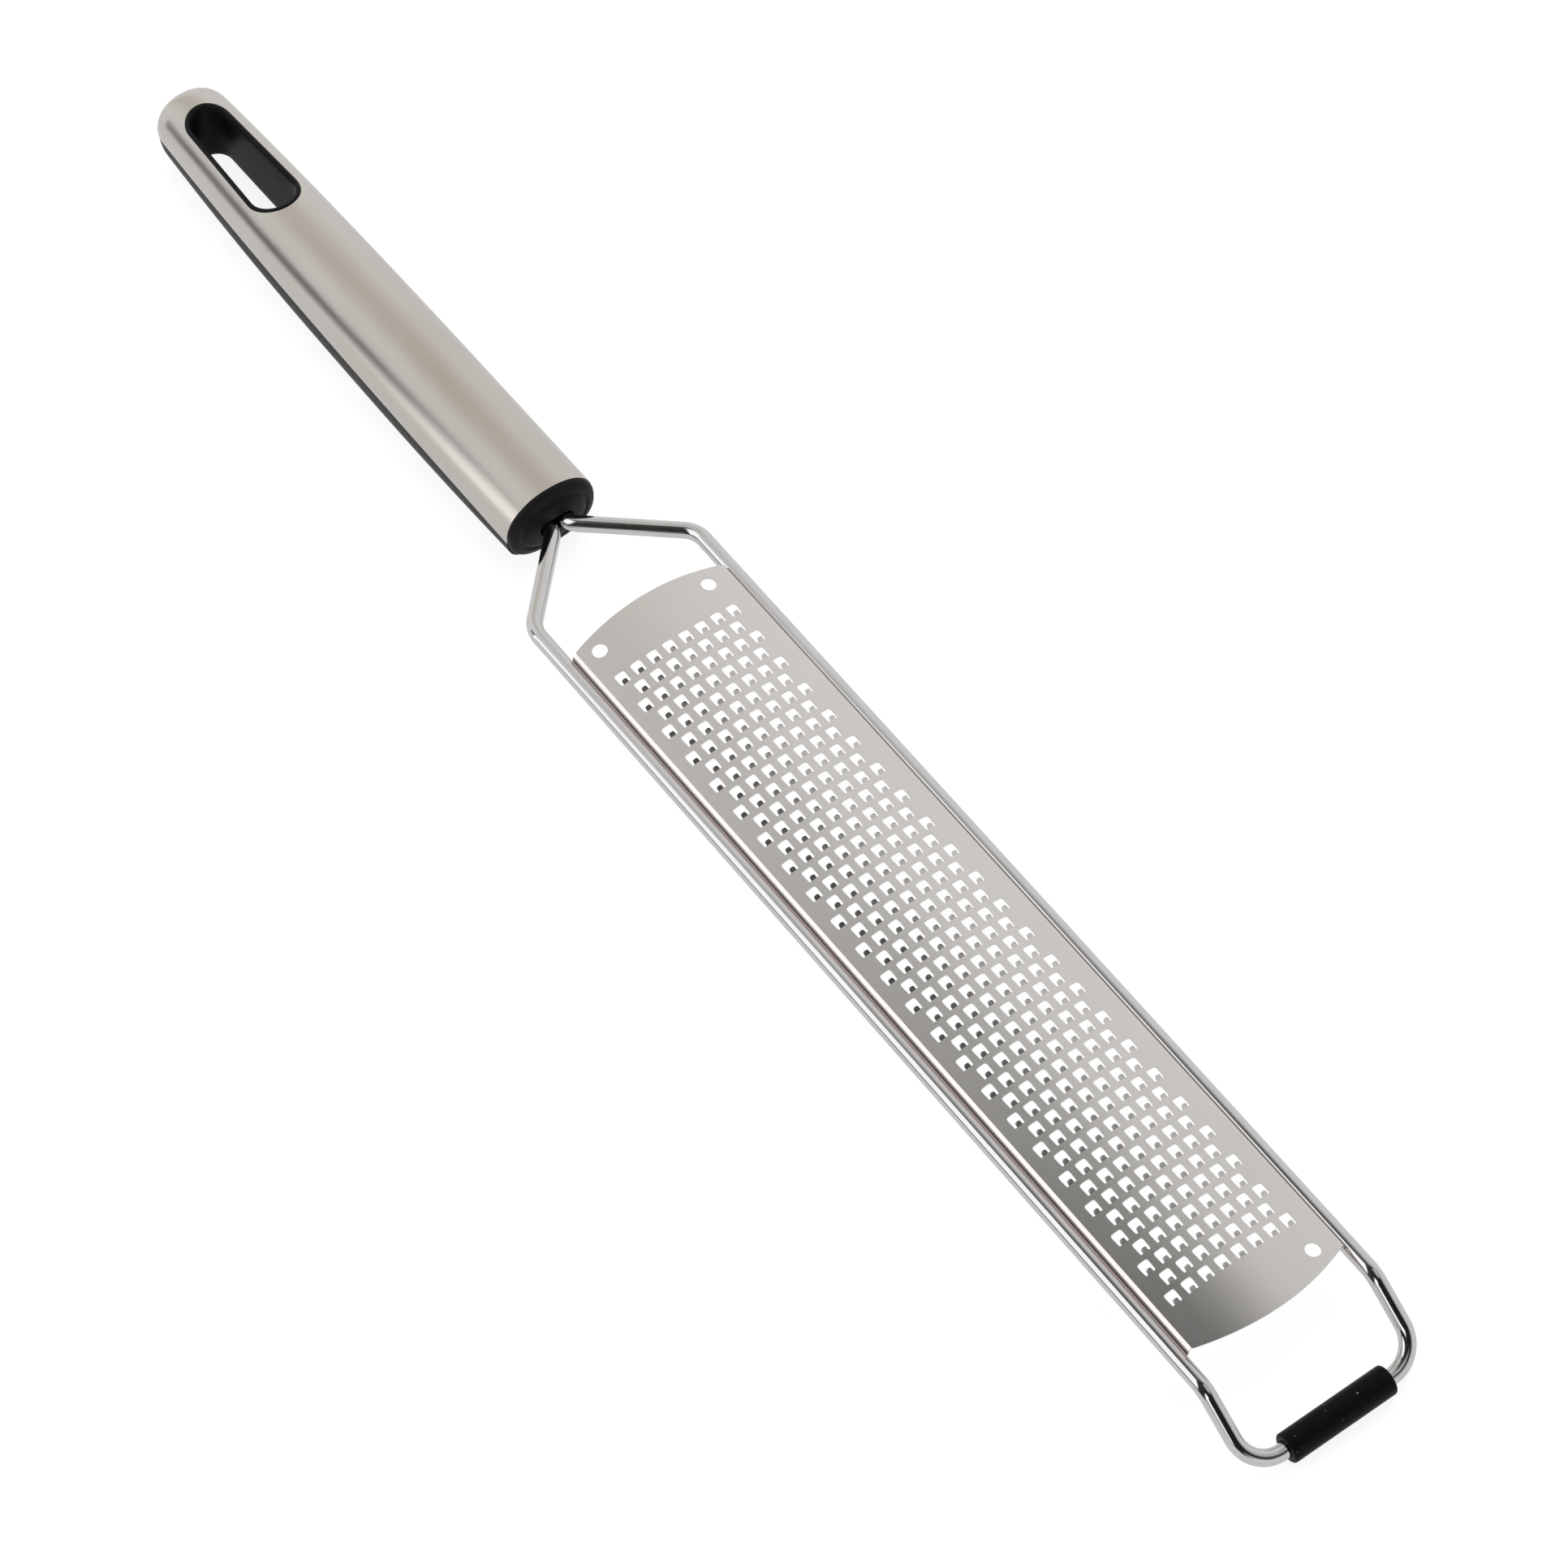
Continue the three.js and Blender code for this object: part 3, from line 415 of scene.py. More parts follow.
def frame_wire():
    """A circle carried along the bent route of the wire, square to it at every point, with closed ends."""
    half = np.array([
        (handle_front_x - WIRE_INSERT, root_side, FRONT_MIDLINE),
        (handle_front_x + ROOT_REACH, root_side, FRONT_MIDLINE),
        (shoulder_x, WIRE_SIDE, WIRE_HEIGHT),
        (front_bend_x, WIRE_SIDE, WIRE_HEIGHT),
        (foot_x, WIRE_SIDE, SLEEVE_RADIUS),
    ])
    bends = np.array([ROOT_BEND, SHOULDER_BEND, FRONT_BEND, foot_corner_bend])
    path = bent_path(
        np.concatenate([half, half[::-1] * (1, -1, 1)]), np.concatenate([bends, bends[::-1]])
    )
    runs = unit(np.diff(path, axis=0))
    along = unit(np.concatenate([runs[:1], runs[:-1] + runs[1:], runs[-1:]]))
    level = unit(np.cross(along, (0, 0, 1)))
    upright = np.cross(level, along)
    angle = np.linspace(0, 2 * np.pi, WIRE_STEPS, endpoint=False)[None, :, None]
    rings = path[:, None] + WIRE_RADIUS * (np.cos(angle) * level[:, None] + np.sin(angle) * upright[:, None])
    ends = [np.broadcast_to(path[i], (1, WIRE_STEPS, 3)) for i in (0, -1)]
    return wrap(np.concatenate([ends[0], rings, ends[1]]))


def foot_sleeve():
    """A closed outline turned about the crossbar: bore, end faces, and edges rounded as quarter circles."""
    half = SLEEVE_LENGTH / 2
    bore_half = half - SLEEVE_CHAMFER_DEPTH
    turn = np.linspace(0, np.pi / 2, 7)
    round_radius = SLEEVE_RADIUS - SLEEVE_EDGE * (1 - np.sin(turn))
    round_place = half - SLEEVE_EDGE * (1 - np.cos(turn))
    body = np.linspace(-0.8, 0.8, 9) * half
    radius = np.concatenate([
        [SLEEVE_BORE, SLEEVE_BORE, SLEEVE_BORE + SLEEVE_CHAMFER_RISE], round_radius,
        np.full(len(body), SLEEVE_RADIUS), round_radius[::-1], [SLEEVE_BORE + SLEEVE_CHAMFER_RISE],
    ])
    place = np.concatenate([
        [-bore_half, bore_half, half], round_place, body[::-1], -round_place[::-1], [-half],
    ])
    angle = np.linspace(0, 2 * np.pi, 64, endpoint=False)
    x = foot_x + radius[:, None] * np.cos(angle)
    z = SLEEVE_RADIUS + radius[:, None] * np.sin(angle)
    return wrap(np.stack([x, np.broadcast_to(place[:, None], x.shape), z], -1), closed=True)


# Handle

def handle_sizes(station, inset):
    """Half width, midline, rise above it and drop below it at stations measured back from the front: the
    width narrows by a power of the distance, the top and midline run straight, the belly is a flat
    stretch between a parabola and a power curve."""
    share = np.clip(station / HANDLE_LENGTH, 0, 1)
    half = (FRONT_WIDTH + (BUTT_WIDTH - FRONT_WIDTH) * share**WIDTH_TAPER_POWER) / 2 - inset
    middle = FRONT_MIDLINE + (BUTT_MIDLINE - FRONT_MIDLINE) * share
    top = FRONT_TOP + (BUTT_TOP - FRONT_TOP) * share - inset
    front = np.clip(station / BELLY_START, 0, 1)
    belly_end = BELLY_START + BELLY_LENGTH
    back = np.clip((station - belly_end) / (HANDLE_LENGTH - belly_end), 0, 1)
    dip = front * (2 - front)
    bottom = FRONT_BOTTOM + (-BELLY_BELOW_TABLE - FRONT_BOTTOM) * dip
    bottom = bottom + (BUTT_BOTTOM + BELLY_BELOW_TABLE) * back**BELLY_RISE_POWER + inset
    return half, middle, top - middle, middle - bottom


def section(angle, lower_squareness):
    """A closed curve |p|^n + |q|^n = 1 by its angle, with one power above its midline and another below."""
    power = 2 / np.where(np.sin(angle) >= 0, UPPER_SQUARENESS, lower_squareness)
    return [np.sign(part) * np.abs(part) ** power for part in (np.cos(angle), np.sin(angle))]


def handle_point(station, angle, inset, pivot):
    """A point of the handle's form: a section |y|^n + |z|^n = 1 stretched to size, squarer below than
    above, shrunk towards a pivot height as (1 - share^n)^(1/n) over the rounded butt, which leans."""
    half, middle, up, down = handle_sizes(station, inset)
    side, rise = section(angle, LOWER_SQUARENESS)
    z = middle + rise * np.where(rise > 0, up, down)
    share = np.clip((station - round_start) / BUTT_ROUND, 0, 1)
    shrink = (1 - share**BUTT_SQUARENESS) ** (1 / BUTT_SQUARENESS)
    z = pivot + (z - pivot) * shrink
    straight = np.minimum(station, round_start) + share * BUTT_CAP_SHARE * (BUTT_ROUND - inset)
    x = handle_front_x - straight + BUTT_LEAN * share * (BUTT_TOP - z)
    return np.stack([x, half * side * shrink, np.maximum(z, 0)], -1)


def seam_angle(station, inset, height):
    """How far round from level the section is where it passes a height just below its midline."""
    _, middle, _, down = handle_sizes(station, inset)
    return np.arcsin(np.clip((middle - height) / down, 0, 1) ** (LOWER_SQUARENESS / 2))


def on_shell(params, side):
    """The shell from its left edge over the top to its right one, outside or inside its wall."""
    station, turn = params.T
    inset = side * SHELL_WALL
    low = seam_angle(station, inset, SEAM_HEIGHT)
    return handle_point(station, -low + turn * (np.pi + 2 * low), inset, SEAM_HEIGHT)


def on_base(params, side):
    """The base from its right edge under the belly to its left one, outside or inside its wall."""
    station, turn = params.T
    inset = BASE_STEP_IN + side * BASE_WALL
    height = SEAM_HEIGHT - SEAM_GAP
    low = seam_angle(station, inset, height)
    return handle_point(station, np.pi + low + turn * (np.pi - 2 * low), inset, height)


SLOT_SIDE_STEPS = 40
SLOT_END_STEPS = 24
SLOT_RING_STEPS = 8
EDGE_STEPS = 11
WINDOW_TURN = 0.15
WINDOW_FRONT_SPACE = 5
WINDOW_BUTT_SHARE = 0.45


def slot_outline(margin, butt_draft=0.0):
    """The slot in plan: a half round at each end and straight sides, as a loop in four stretches, each
    in equal steps: front end, left side, butt end, right side."""
    front_x = butt_x + SLOT_FROM_BUTT + SLOT_LENGTH - SLOT_FRONT_RADIUS
    rear_x = butt_x + SLOT_FROM_BUTT + SLOT_BUTT_RADIUS + butt_draft
    turns = np.linspace(-np.pi / 2, np.pi / 2, 129)[:, None]
    round_end = np.concatenate([np.cos(turns), np.sin(turns)], 1)
    front = (front_x, 0) + (SLOT_FRONT_RADIUS + margin) * round_end
    rear = (rear_x, 0) - (SLOT_BUTT_RADIUS + margin) * round_end
    stretches = [
        (front[32:97], SLOT_END_STEPS),
        (np.concatenate([front[96:], rear[:33]]), SLOT_SIDE_STEPS),
        (rear[32:97], SLOT_END_STEPS),
        (np.concatenate([rear[96:], front[:33]]), SLOT_SIDE_STEPS),
    ]
    loop = []
    for points, steps in stretches:
        length = np.concatenate([[0], np.cumsum(np.linalg.norm(np.diff(points, axis=0), axis=1))])
        wanted = np.linspace(0, length[-1], steps + 1)[:-1]
        loop.append(np.stack([np.interp(wanted, length, points[:, i]) for i in (0, 1)], 1))
    return np.concatenate(loop)


def slotted_quads(turn_at):
    """The quads of a handle half in station and turn, with the slot's loop ringed into a window of the
    grid. turn_at gives the turn of a point from its station and its place across."""
    outline = slot_outline(SLOT_CLEARANCE)
    station = handle_front_x - outline[:, 0]
    loop = np.stack([station, turn_at(station, outline[:, 1])], 1)
    window_start = station.min() - WINDOW_FRONT_SPACE
    window_end = round_start + WINDOW_BUTT_SHARE * BUTT_ROUND
    window_rows = np.linspace(window_start, window_end, SLOT_SIDE_STEPS + 1)
    window_turns = np.linspace(WINDOW_TURN, 1 - WINDOW_TURN, SLOT_END_STEPS + 1)
    edge_turns = np.linspace(0, WINDOW_TURN, EDGE_STEPS + 1)[:-1]
    front_rows = np.concatenate([[FRONT_SETBACK, 0.8, 1.3, 2.2], np.linspace(4, window_rows[0], 30)[:-1]])
    butt_share = np.sin(np.linspace(0, np.pi / 2, 22)[1:])
    butt_rows = window_rows[-1] + (HANDLE_LENGTH - window_rows[-1]) * butt_share
    rows = np.concatenate([front_rows, window_rows, butt_rows])
    turns = np.concatenate([edge_turns, window_turns, 1 - edge_turns[::-1]])
    points = np.stack(np.meshgrid(rows, turns, indexing="ij"), -1)
    keep = np.ones((len(rows) - 1, len(turns) - 1), bool)
    row, column = len(front_rows), len(edge_turns)
    keep[row : row + SLOT_SIDE_STEPS, column : column + SLOT_END_STEPS] = False
    window = points[row : row + SLOT_SIDE_STEPS + 1, column : column + SLOT_END_STEPS + 1]
    around = np.concatenate([window[0, :0:-1], window[:-1, 0], window[-1, :-1], window[:0:-1, -1]])
    return quads_of(points)[keep.ravel()], around, loop


def handle_shell():
    """The steel shell: its outer face and its inner one, with the slot cut through."""
    def turn_at(station, across):
        half, *_ = handle_sizes(station, 0)
        angle = np.arccos(np.sign(across) * np.abs(across / half) ** (UPPER_SQUARENESS / 2))
        low = seam_angle(station, 0, SEAM_HEIGHT)
        return (angle + low) / (np.pi + 2 * low)
    quads, around, loop = slotted_quads(turn_at)
    return skin(np.concatenate([quads, ring_quads(around, loop, SLOT_RING_STEPS)[:, ::-1]]), on_shell)


def handle_base():
    """The plastic underside: a thick skin below the seam, with the slot cut through."""
    def turn_at(station, across):
        half, *_ = handle_sizes(station, BASE_STEP_IN)
        angle = np.arccos(np.sign(across) * np.abs(across / half) ** (LOWER_SQUARENESS / 2))
        low = seam_angle(station, BASE_STEP_IN, SEAM_HEIGHT - SEAM_GAP)
        return (np.pi - angle - low) / (np.pi - 2 * low)
    quads, around, loop = slotted_quads(turn_at)
    flipped = np.roll(loop[::-1], SLOT_END_STEPS + 1, 0)
    return skin(np.concatenate([quads, ring_quads(around, flipped, SLOT_RING_STEPS)[:, ::-1]]), on_base)


def handle_height(x, y, upper):
    """The height of the handle's form at a place in plan, above or below its midline."""
    half, middle, up, down = handle_sizes(handle_front_x - x, 0)
    squareness = UPPER_SQUARENESS if upper else LOWER_SQUARENESS
    share = (1 - np.clip(np.abs(y) / half, 0, 1) ** squareness) ** (1 / squareness)
    return middle + up * share if upper else np.maximum(middle - down * share, 0)


def slot_liner():
    """The slot's outline carried down its own wall: up the outside, over a rounded lip that follows the
    handle's top, and down the drafted inside to the underside."""
    deep = LINER_WALL + LINER_DRAFT
    rim = np.array([
        (0, 0, -0.6), (0, 0, 0.1), (-0.06, 0, 0.2), (-0.18, 0, 0.25), (-0.36, 0, 0.24), (-0.55, 0, 0.17),
        (-0.7, 0, 0.02), (-0.8, 0.01, -0.2), (-LINER_WALL, 0.04, -0.6),
    ])
    rings = []
    for margin, draft, lift in rim:
        loop = slot_outline(margin, draft)
        rings.append(np.column_stack([loop, handle_height(loop[:, 0], loop[:, 1], True) + lift]))
    low_inside = slot_outline(-deep, LINER_BUTT_DRAFT)
    low_edge = slot_outline(-deep + 0.15, LINER_BUTT_DRAFT)
    low_outside = slot_outline(0)
    base = [handle_height(loop[:, 0], loop[:, 1], False) for loop in (low_inside, low_outside)]
    top = rings[-1]
    bottom = np.column_stack([low_inside, base[0] + 0.25])
    rings += [top * (1 - s) + bottom * s for s in np.linspace(0.1, 1, 10)]
    rings.append(np.column_stack([low_edge, np.maximum(base[0] - 0.1, 0.02)]))
    rings.append(np.column_stack([slot_outline(-0.15), np.maximum(base[1] - 0.1, 0.02)]))
    rings.append(np.column_stack([low_outside, base[1] + 0.1]))
    return wrap(np.stack(rings), closed=True)


def front_plug():
    """Loops that go from the oval of the handle's front to the mouth of the two wire ends: a stem inside
    the shell, a cap in front of the shell's edge with a rounded rim, a domed face with a shallow
    groove, and the mouth."""
    angle = np.linspace(0, 2 * np.pi, PLUG_STEPS, endpoint=False)
    half, _, up, down = handle_sizes(0, PLUG_INSET)
    side, rise = section(angle, PLUG_LOWER_SQUARENESS)
    oval = np.stack([half * side, rise * np.where(rise > 0, up, down)], 1)
    mouth_radius = WIRE_RADIUS + MOUTH_CLEARANCE
    along = root_side * np.clip(4 * np.cos(angle), -1, 1) + mouth_radius * np.cos(angle)
    mouth = np.stack([along, mouth_radius * np.sin(angle)], 1)
    profile = [(PLUG_STEM, -PLUG_DEPTH), (PLUG_STEM, -FRONT_SETBACK), (PLUG_BACK_SHARE, -FRONT_SETBACK)]
    rim = np.linspace(0, np.pi / 2, 11)
    rim_share = 1 - PLUG_RIM_SHARE * (1 - np.cos(rim))
    rim_place = PLUG_RIM_LIFT - FRONT_SETBACK + PLUG_RIM_RISE * np.sin(rim)
    profile += list(zip(rim_share, rim_place))
    face = np.linspace(0.84, 0.02, 36)
    face_rise = PLUG_BULGE - PLUG_TOP_SPACE - rim_place[-1]
    dome = rim_place[-1] + face_rise * (1 - (face / rim_share[-1]) ** 2)
    groove = PLUG_GROOVE_DEPTH * np.exp(-(((face - PLUG_GROOVE_SHARE) / PLUG_GROOVE_WIDTH) ** 2))
    profile += list(zip(face, dome - groove))
    profile += [(0.0, PLUG_BULGE - 0.2), (-0.015, PLUG_BULGE - 0.5), (-0.015, -MOUTH_DEPTH)]
    rings = []
    for share, x in profile:
        loop = mouth + share * (oval - mouth)
        rings.append(np.column_stack([np.full(PLUG_STEPS, handle_front_x + x), loop]) + (0, 0, FRONT_MIDLINE))
    front_close = np.tile((handle_front_x - MOUTH_DEPTH, 0, FRONT_MIDLINE), (PLUG_STEPS, 1))
    back_close = np.tile((handle_front_x - PLUG_DEPTH, 0, FRONT_MIDLINE), (PLUG_STEPS, 1))
    return wrap(np.stack([back_close, *rings, front_close]))


# Finishes

class Finish:
    """A node material round one Principled shader, with its patterns in object coordinates."""

    def __init__(self, name, colour, metallic, roughness, specular=0.5):
        self.material = bpy.data.materials.new(name)
        self.material.use_nodes = True
        self.nodes = self.material.node_tree.nodes
        self.links = self.material.node_tree.links
        self.shader = self.nodes["Principled BSDF"]
        self.shader.inputs["Base Color"].default_value = (*colour, 1)
        self.shader.inputs["Metallic"].default_value = metallic
        self.shader.inputs["Roughness"].default_value = roughness
        self.shader.inputs["Specular IOR Level"].default_value = specular
        self.place = self.nodes.new("ShaderNodeTexCoord").outputs["Object"]

    def noise(self, scale, stretch=(1, 1, 1), detail=3.0, roughness=0.55):
        """A noise pattern, its grain stretched along an axis by a small scale on that axis."""
        mapping = self.nodes.new("ShaderNodeMapping")
        mapping.inputs["Scale"].default_value = stretch
        self.links.new(self.place, mapping.inputs["Vector"])
        node = self.nodes.new("ShaderNodeTexNoise")
        node.inputs["Scale"].default_value = scale
        node.inputs["Detail"].default_value = detail
        node.inputs["Roughness"].default_value = roughness
        self.links.new(mapping.outputs["Vector"], node.inputs["Vector"])
        return node.outputs["Fac"]

    def spread(self, value, low, high, start=0.3, end=0.7):
        """A pattern's values from start to end carried to the range from low to high."""
        node = self.nodes.new("ShaderNodeMapRange")
        node.inputs["From Min"].default_value = start
        node.inputs["From Max"].default_value = end
        node.inputs["To Min"].default_value = low
        node.inputs["To Max"].default_value = high
        self.links.new(value, node.inputs["Value"])
        return node.outputs["Result"]

    def total(self, first, second):
        """Two patterns added."""
        node = self.nodes.new("ShaderNodeMath")
        node.operation = "ADD"
        self.links.new(first, node.inputs[0])
        self.links.new(second, node.inputs[1])
        return node.outputs["Value"]

    def colours(self, value, dark, light):
        """The base colour from a pattern's values, as shades between a dark colour and a light one, which
        may be a pattern of colours itself."""
        node = self.nodes.new("ShaderNodeMix")
        node.data_type = "RGBA"
        node.inputs[6].default_value = (*dark, 1)
        if isinstance(light, tuple):
            node.inputs[7].default_value = (*light, 1)
        else:
            self.links.new(light, node.inputs[7])
        self.links.new(value, node.inputs[0])
        self.links.new(node.outputs[2], self.shader.inputs["Base Color"])
        return node.outputs[2]

    def height(self):
        """The height above the table."""
        node = self.nodes.new("ShaderNodeSeparateXYZ")
        self.links.new(self.place, node.inputs["Vector"])
        return node.outputs["Z"]

    def rough(self, value):
        """The roughness from a pattern."""
        self.links.new(value, self.shader.inputs["Roughness"])

    def brushed(self, axis, amount):
        """A shine drawn out round an axis, as by a grain that runs along it."""
        node = self.nodes.new("ShaderNodeTangent")
        node.direction_type = "RADIAL"
        node.axis = axis
        self.links.new(node.outputs["Tangent"], self.shader.inputs["Tangent"])
        self.shader.inputs["Anisotropic"].default_value = amount

    def bump(self, value, strength, distance):
        """Relief from a pattern, in metres of height."""
        node = self.nodes.new("ShaderNodeBump")
        node.inputs["Strength"].default_value = strength
        node.inputs["Distance"].default_value = distance
        self.links.new(value, node.inputs["Height"])
        self.links.new(node.outputs["Normal"], self.shader.inputs["Normal"])


def etched_steel():
    """Cold-rolled sheet: a soft shine, faint rolling lines along the sheet and cloudy handling marks. Its
    flanges are painted dark brown below a height: a painted shade for the crevice between flange and wire."""
    finish = Finish("etched_sheet_steel", (0.62, 0.6, 0.575), 1, 0.2)
    lines = finish.noise(900, (0.04, 1, 1), 2)
    clouds = finish.noise(30, detail=4)
    sheet = finish.colours(finish.spread(clouds, 0, 1), (0.605, 0.585, 0.56), (0.635, 0.615, 0.59))
    # Painted shade: the flange is coloured dark brown below these heights, where the crevice by the wire is
    # in shade
    above_crevice_shade = finish.spread(finish.height(), 0, 1, CREVICE_SHADE_HEIGHTS[0] * MM, CREVICE_SHADE_HEIGHTS[1] * MM)
    finish.colours(above_crevice_shade, (0.36, 0.27, 0.24), sheet)
    finish.rough(finish.total(finish.spread(lines, 0.17, 0.2), finish.spread(clouds, -0.02, 0.02)))
    finish.bump(lines, 0.05, 0.00002)
    return finish.material


def polished_steel():
    """Polished wire: near mirror, with a slight cloud of wear and hair scratches round it."""
    finish = Finish("polished_wire_steel", (0.565, 0.558, 0.555), 1, 0.14)
    clouds = finish.noise(120, detail=4)
    hairs = finish.noise(1500, (0.05, 1, 1), 2)
    finish.colours(finish.spread(clouds, 0, 1), (0.55, 0.543, 0.54), (0.58, 0.573, 0.57))
    finish.rough(finish.total(finish.spread(clouds, 0.08, 0.11), finish.spread(hairs, 0, 0.02)))
    finish.bump(hairs, 0.03, 0.00001)
    return finish.material


def satin_steel():
    """Satin shell: a fine grain along the handle under a soft, slightly warm shine."""
    finish = Finish("satin_shell_steel", (0.535, 0.507, 0.475), 1, 0.25)
    grain = finish.noise(1400, (0.03, 1, 1), 3)
    clouds = finish.noise(40, (0.3, 1, 1), 5)
    finish.colours(finish.spread(clouds, 0, 1), (0.495, 0.46, 0.422), (0.57, 0.55, 0.522))
    finish.rough(finish.total(finish.spread(grain, 0.19, 0.23), finish.spread(clouds, -0.02, 0.02)))
    finish.bump(grain, 0.08, 0.00002)
    finish.brushed("X", 0.75)
    return finish.material


def black_plastic():
    """Moulded black plastic: a fine matt grain, softly mottled."""
    finish = Finish("moulded_black_plastic", (0.007, 0.007, 0.008), 0, 0.42, 0.08)
    grain = finish.noise(2600, detail=2)
    clouds = finish.noise(90, detail=3)
    finish.colours(finish.spread(clouds, 0, 1), (0.005, 0.005, 0.006), (0.011, 0.011, 0.012))
    finish.rough(finish.total(finish.spread(grain, 0.36, 0.46), finish.spread(clouds, -0.03, 0.03)))
    finish.bump(grain, 0.12, 0.00004)
    return finish.material


def black_rubber():
    """Smooth rubber tube: dull black with a few specks of dust."""
    finish = Finish("smooth_black_rubber", (0.003, 0.003, 0.004), 0, 0.4, 0.07)
    grain = finish.noise(1900, detail=2)
    specks = finish.noise(1500, detail=0)
    finish.colours(finish.spread(specks, 0, 1, 0.84, 0.88), (0.003, 0.003, 0.004), (0.25, 0.25, 0.26))
    finish.rough(finish.spread(grain, 0.34, 0.44))
    finish.bump(grain, 0.15, 0.00004)
    return finish.material


plastic = black_plastic()
make_piece("plate", grater_plate(), etched_steel(), "grater_plate", sharp=0.16)
make_piece("wire", frame_wire(), polished_steel(), "frame_wire")
make_piece("sleeve", foot_sleeve(), black_rubber(), "foot_sleeve")
make_piece("shell", handle_shell(), satin_steel(), "handle_shell", bevel=0.14)
make_piece("base", handle_base(), plastic, "handle_base", bevel=0.2)
make_piece("plug", front_plug(), plastic, "front_plug")
make_piece("liner", slot_liner(), plastic, "hang_slot_liner")


# Studio

def when_seen(tree, seen, lit):
    """One shader where the camera, a shine or a clear piece looks, and another for all other light."""
    nodes, links = tree.nodes, tree.links
    path = nodes.new("ShaderNodeLightPath")
    looks = [path.outputs[name] for name in ("Is Camera Ray", "Is Glossy Ray", "Is Transmission Ray")]
    either = looks[0]
    for look in looks[1:]:
        most = nodes.new("ShaderNodeMath")
        most.operation = "MAXIMUM"
        links.new(either, most.inputs[0])
        links.new(look, most.inputs[1])
        either = most.outputs["Value"]
    mix = nodes.new("ShaderNodeMixShader")
    links.new(either, mix.inputs["Fac"])
    links.new(lit, mix.inputs[1])
    links.new(seen, mix.inputs[2])
    return mix.outputs["Shader"]


scene = bpy.context.scene
scene.view_settings.view_transform = "Standard"

world = bpy.data.worlds.new("studio_light")
scene.world = world
world.use_nodes = True
sky = world.node_tree.nodes["Background"]
sky.inputs["Color"].default_value = (1, 1, 1, 1)
sky.inputs["Strength"].default_value = 0.55
white = world.node_tree.nodes.new("ShaderNodeBackground")
white.inputs["Color"].default_value = (1, 1, 1, 1)
white.inputs["Strength"].default_value = 1.0
world_light = when_seen(world.node_tree, white.outputs["Background"], sky.outputs["Background"])
world.node_tree.links.new(world_light, world.node_tree.nodes["World Output"].inputs["Surface"])


def stage_mesh(name, points, faces, material):
    """A mesh of the studio, in metres."""
    mesh = bpy.data.meshes.new(name)
    mesh.from_pydata(points.tolist(), [], faces.tolist())
    mesh.materials.append(material)
    thing = bpy.data.objects.new(name, mesh)
    scene.collection.objects.link(thing)
    return thing


floor_paint = bpy.data.materials.new("white_floor")
floor_paint.use_nodes = True
floor_tree = floor_paint.node_tree
floor_shader = floor_tree.nodes["Principled BSDF"]
floor_shader.inputs["Base Color"].default_value = (0.85, 0.85, 0.85, 1)
floor_shader.inputs["Roughness"].default_value = 0.9
floor_shader.inputs["Specular IOR Level"].default_value = 0.1
glow = floor_tree.nodes.new("ShaderNodeEmission")
in_shine = floor_tree.nodes.new("ShaderNodeLightPath").outputs["Is Glossy Ray"]
fainter = floor_tree.nodes.new("ShaderNodeMapRange")
fainter.inputs["To Min"].default_value = 0.86
fainter.inputs["To Max"].default_value = 0.7
floor_tree.links.new(in_shine, fainter.inputs["Value"])
floor_tree.links.new(fainter.outputs["Result"], glow.inputs["Strength"])
shadowed = floor_tree.nodes.new("ShaderNodeBsdfDiffuse")
shadowed.inputs["Color"].default_value = (0.22, 0.22, 0.22, 1)
white_floor = floor_tree.nodes.new("ShaderNodeAddShader")
floor_tree.links.new(glow.outputs["Emission"], white_floor.inputs[0])
floor_tree.links.new(shadowed.outputs["BSDF"], white_floor.inputs[1])
floor_look = when_seen(floor_tree, white_floor.outputs["Shader"], floor_shader.outputs["BSDF"])
floor_tree.links.new(floor_look, floor_tree.nodes["Material Output"].inputs["Surface"])
floor_corners = np.array([(-4, -4, 0), (4, -4, 0), (4, 4, 0), (-4, 4, 0)]) - (0, 0, 0.0002)
stage_mesh("floor", floor_corners, np.array([(0, 1, 2, 3)]), floor_paint)

# Camera of the photograph
CAMERA_PLACE = Vector((0.520417, -0.374488, 0.949660))
CAMERA_RIGHT = Vector((0.598227, 0.801327, 0))
CAMERA_FORWARD = Vector((-0.443337, 0.330973, -0.833012))
CAMERA_LENS = 139.74

camera = bpy.data.objects.new("camera", bpy.data.cameras.new("camera"))
scene.collection.objects.link(camera)
up = CAMERA_RIGHT.cross(CAMERA_FORWARD)
turn = Matrix((CAMERA_RIGHT, up, -CAMERA_FORWARD)).transposed().to_4x4()
camera.matrix_world = Matrix.Translation(CAMERA_PLACE) @ turn
camera.data.sensor_width = 36
camera.data.lens = CAMERA_LENS
camera.data.clip_start = 0.05
camera.data.clip_end = 20
scene.camera = camera

# The studio as shiny surfaces see it: a dome cap about the camera's direction. Places on it are given in
# degrees, along the tool and by the lean towards its right side. Its overhead part is dim, with a pale
# panel, a long soft box and a small lamp in it, dark strips beside and under the box, a dark stand behind
# it and a warm ceiling at the back
DOME_RADIUS = 1.2
DOME_REACH = np.radians(120)
PANEL_GLOW, LAMP_GLOW = 0.65, 2.3
DARK_BESIDE_BOX, DARK_UNDER_BOX, DARK_STAND = 0.7, 0.8, 0.88
CEILING_TINT = 0.21, 0.25, 0.31


def smooth(value, start, end):
    """A smooth step from 0 at start to 1 at end: 3 s^2 - 2 s^3 of the share s between them."""
    share = np.clip((value - start) / (end - start), 0, 1)
    return share**2 * (3 - 2 * share)


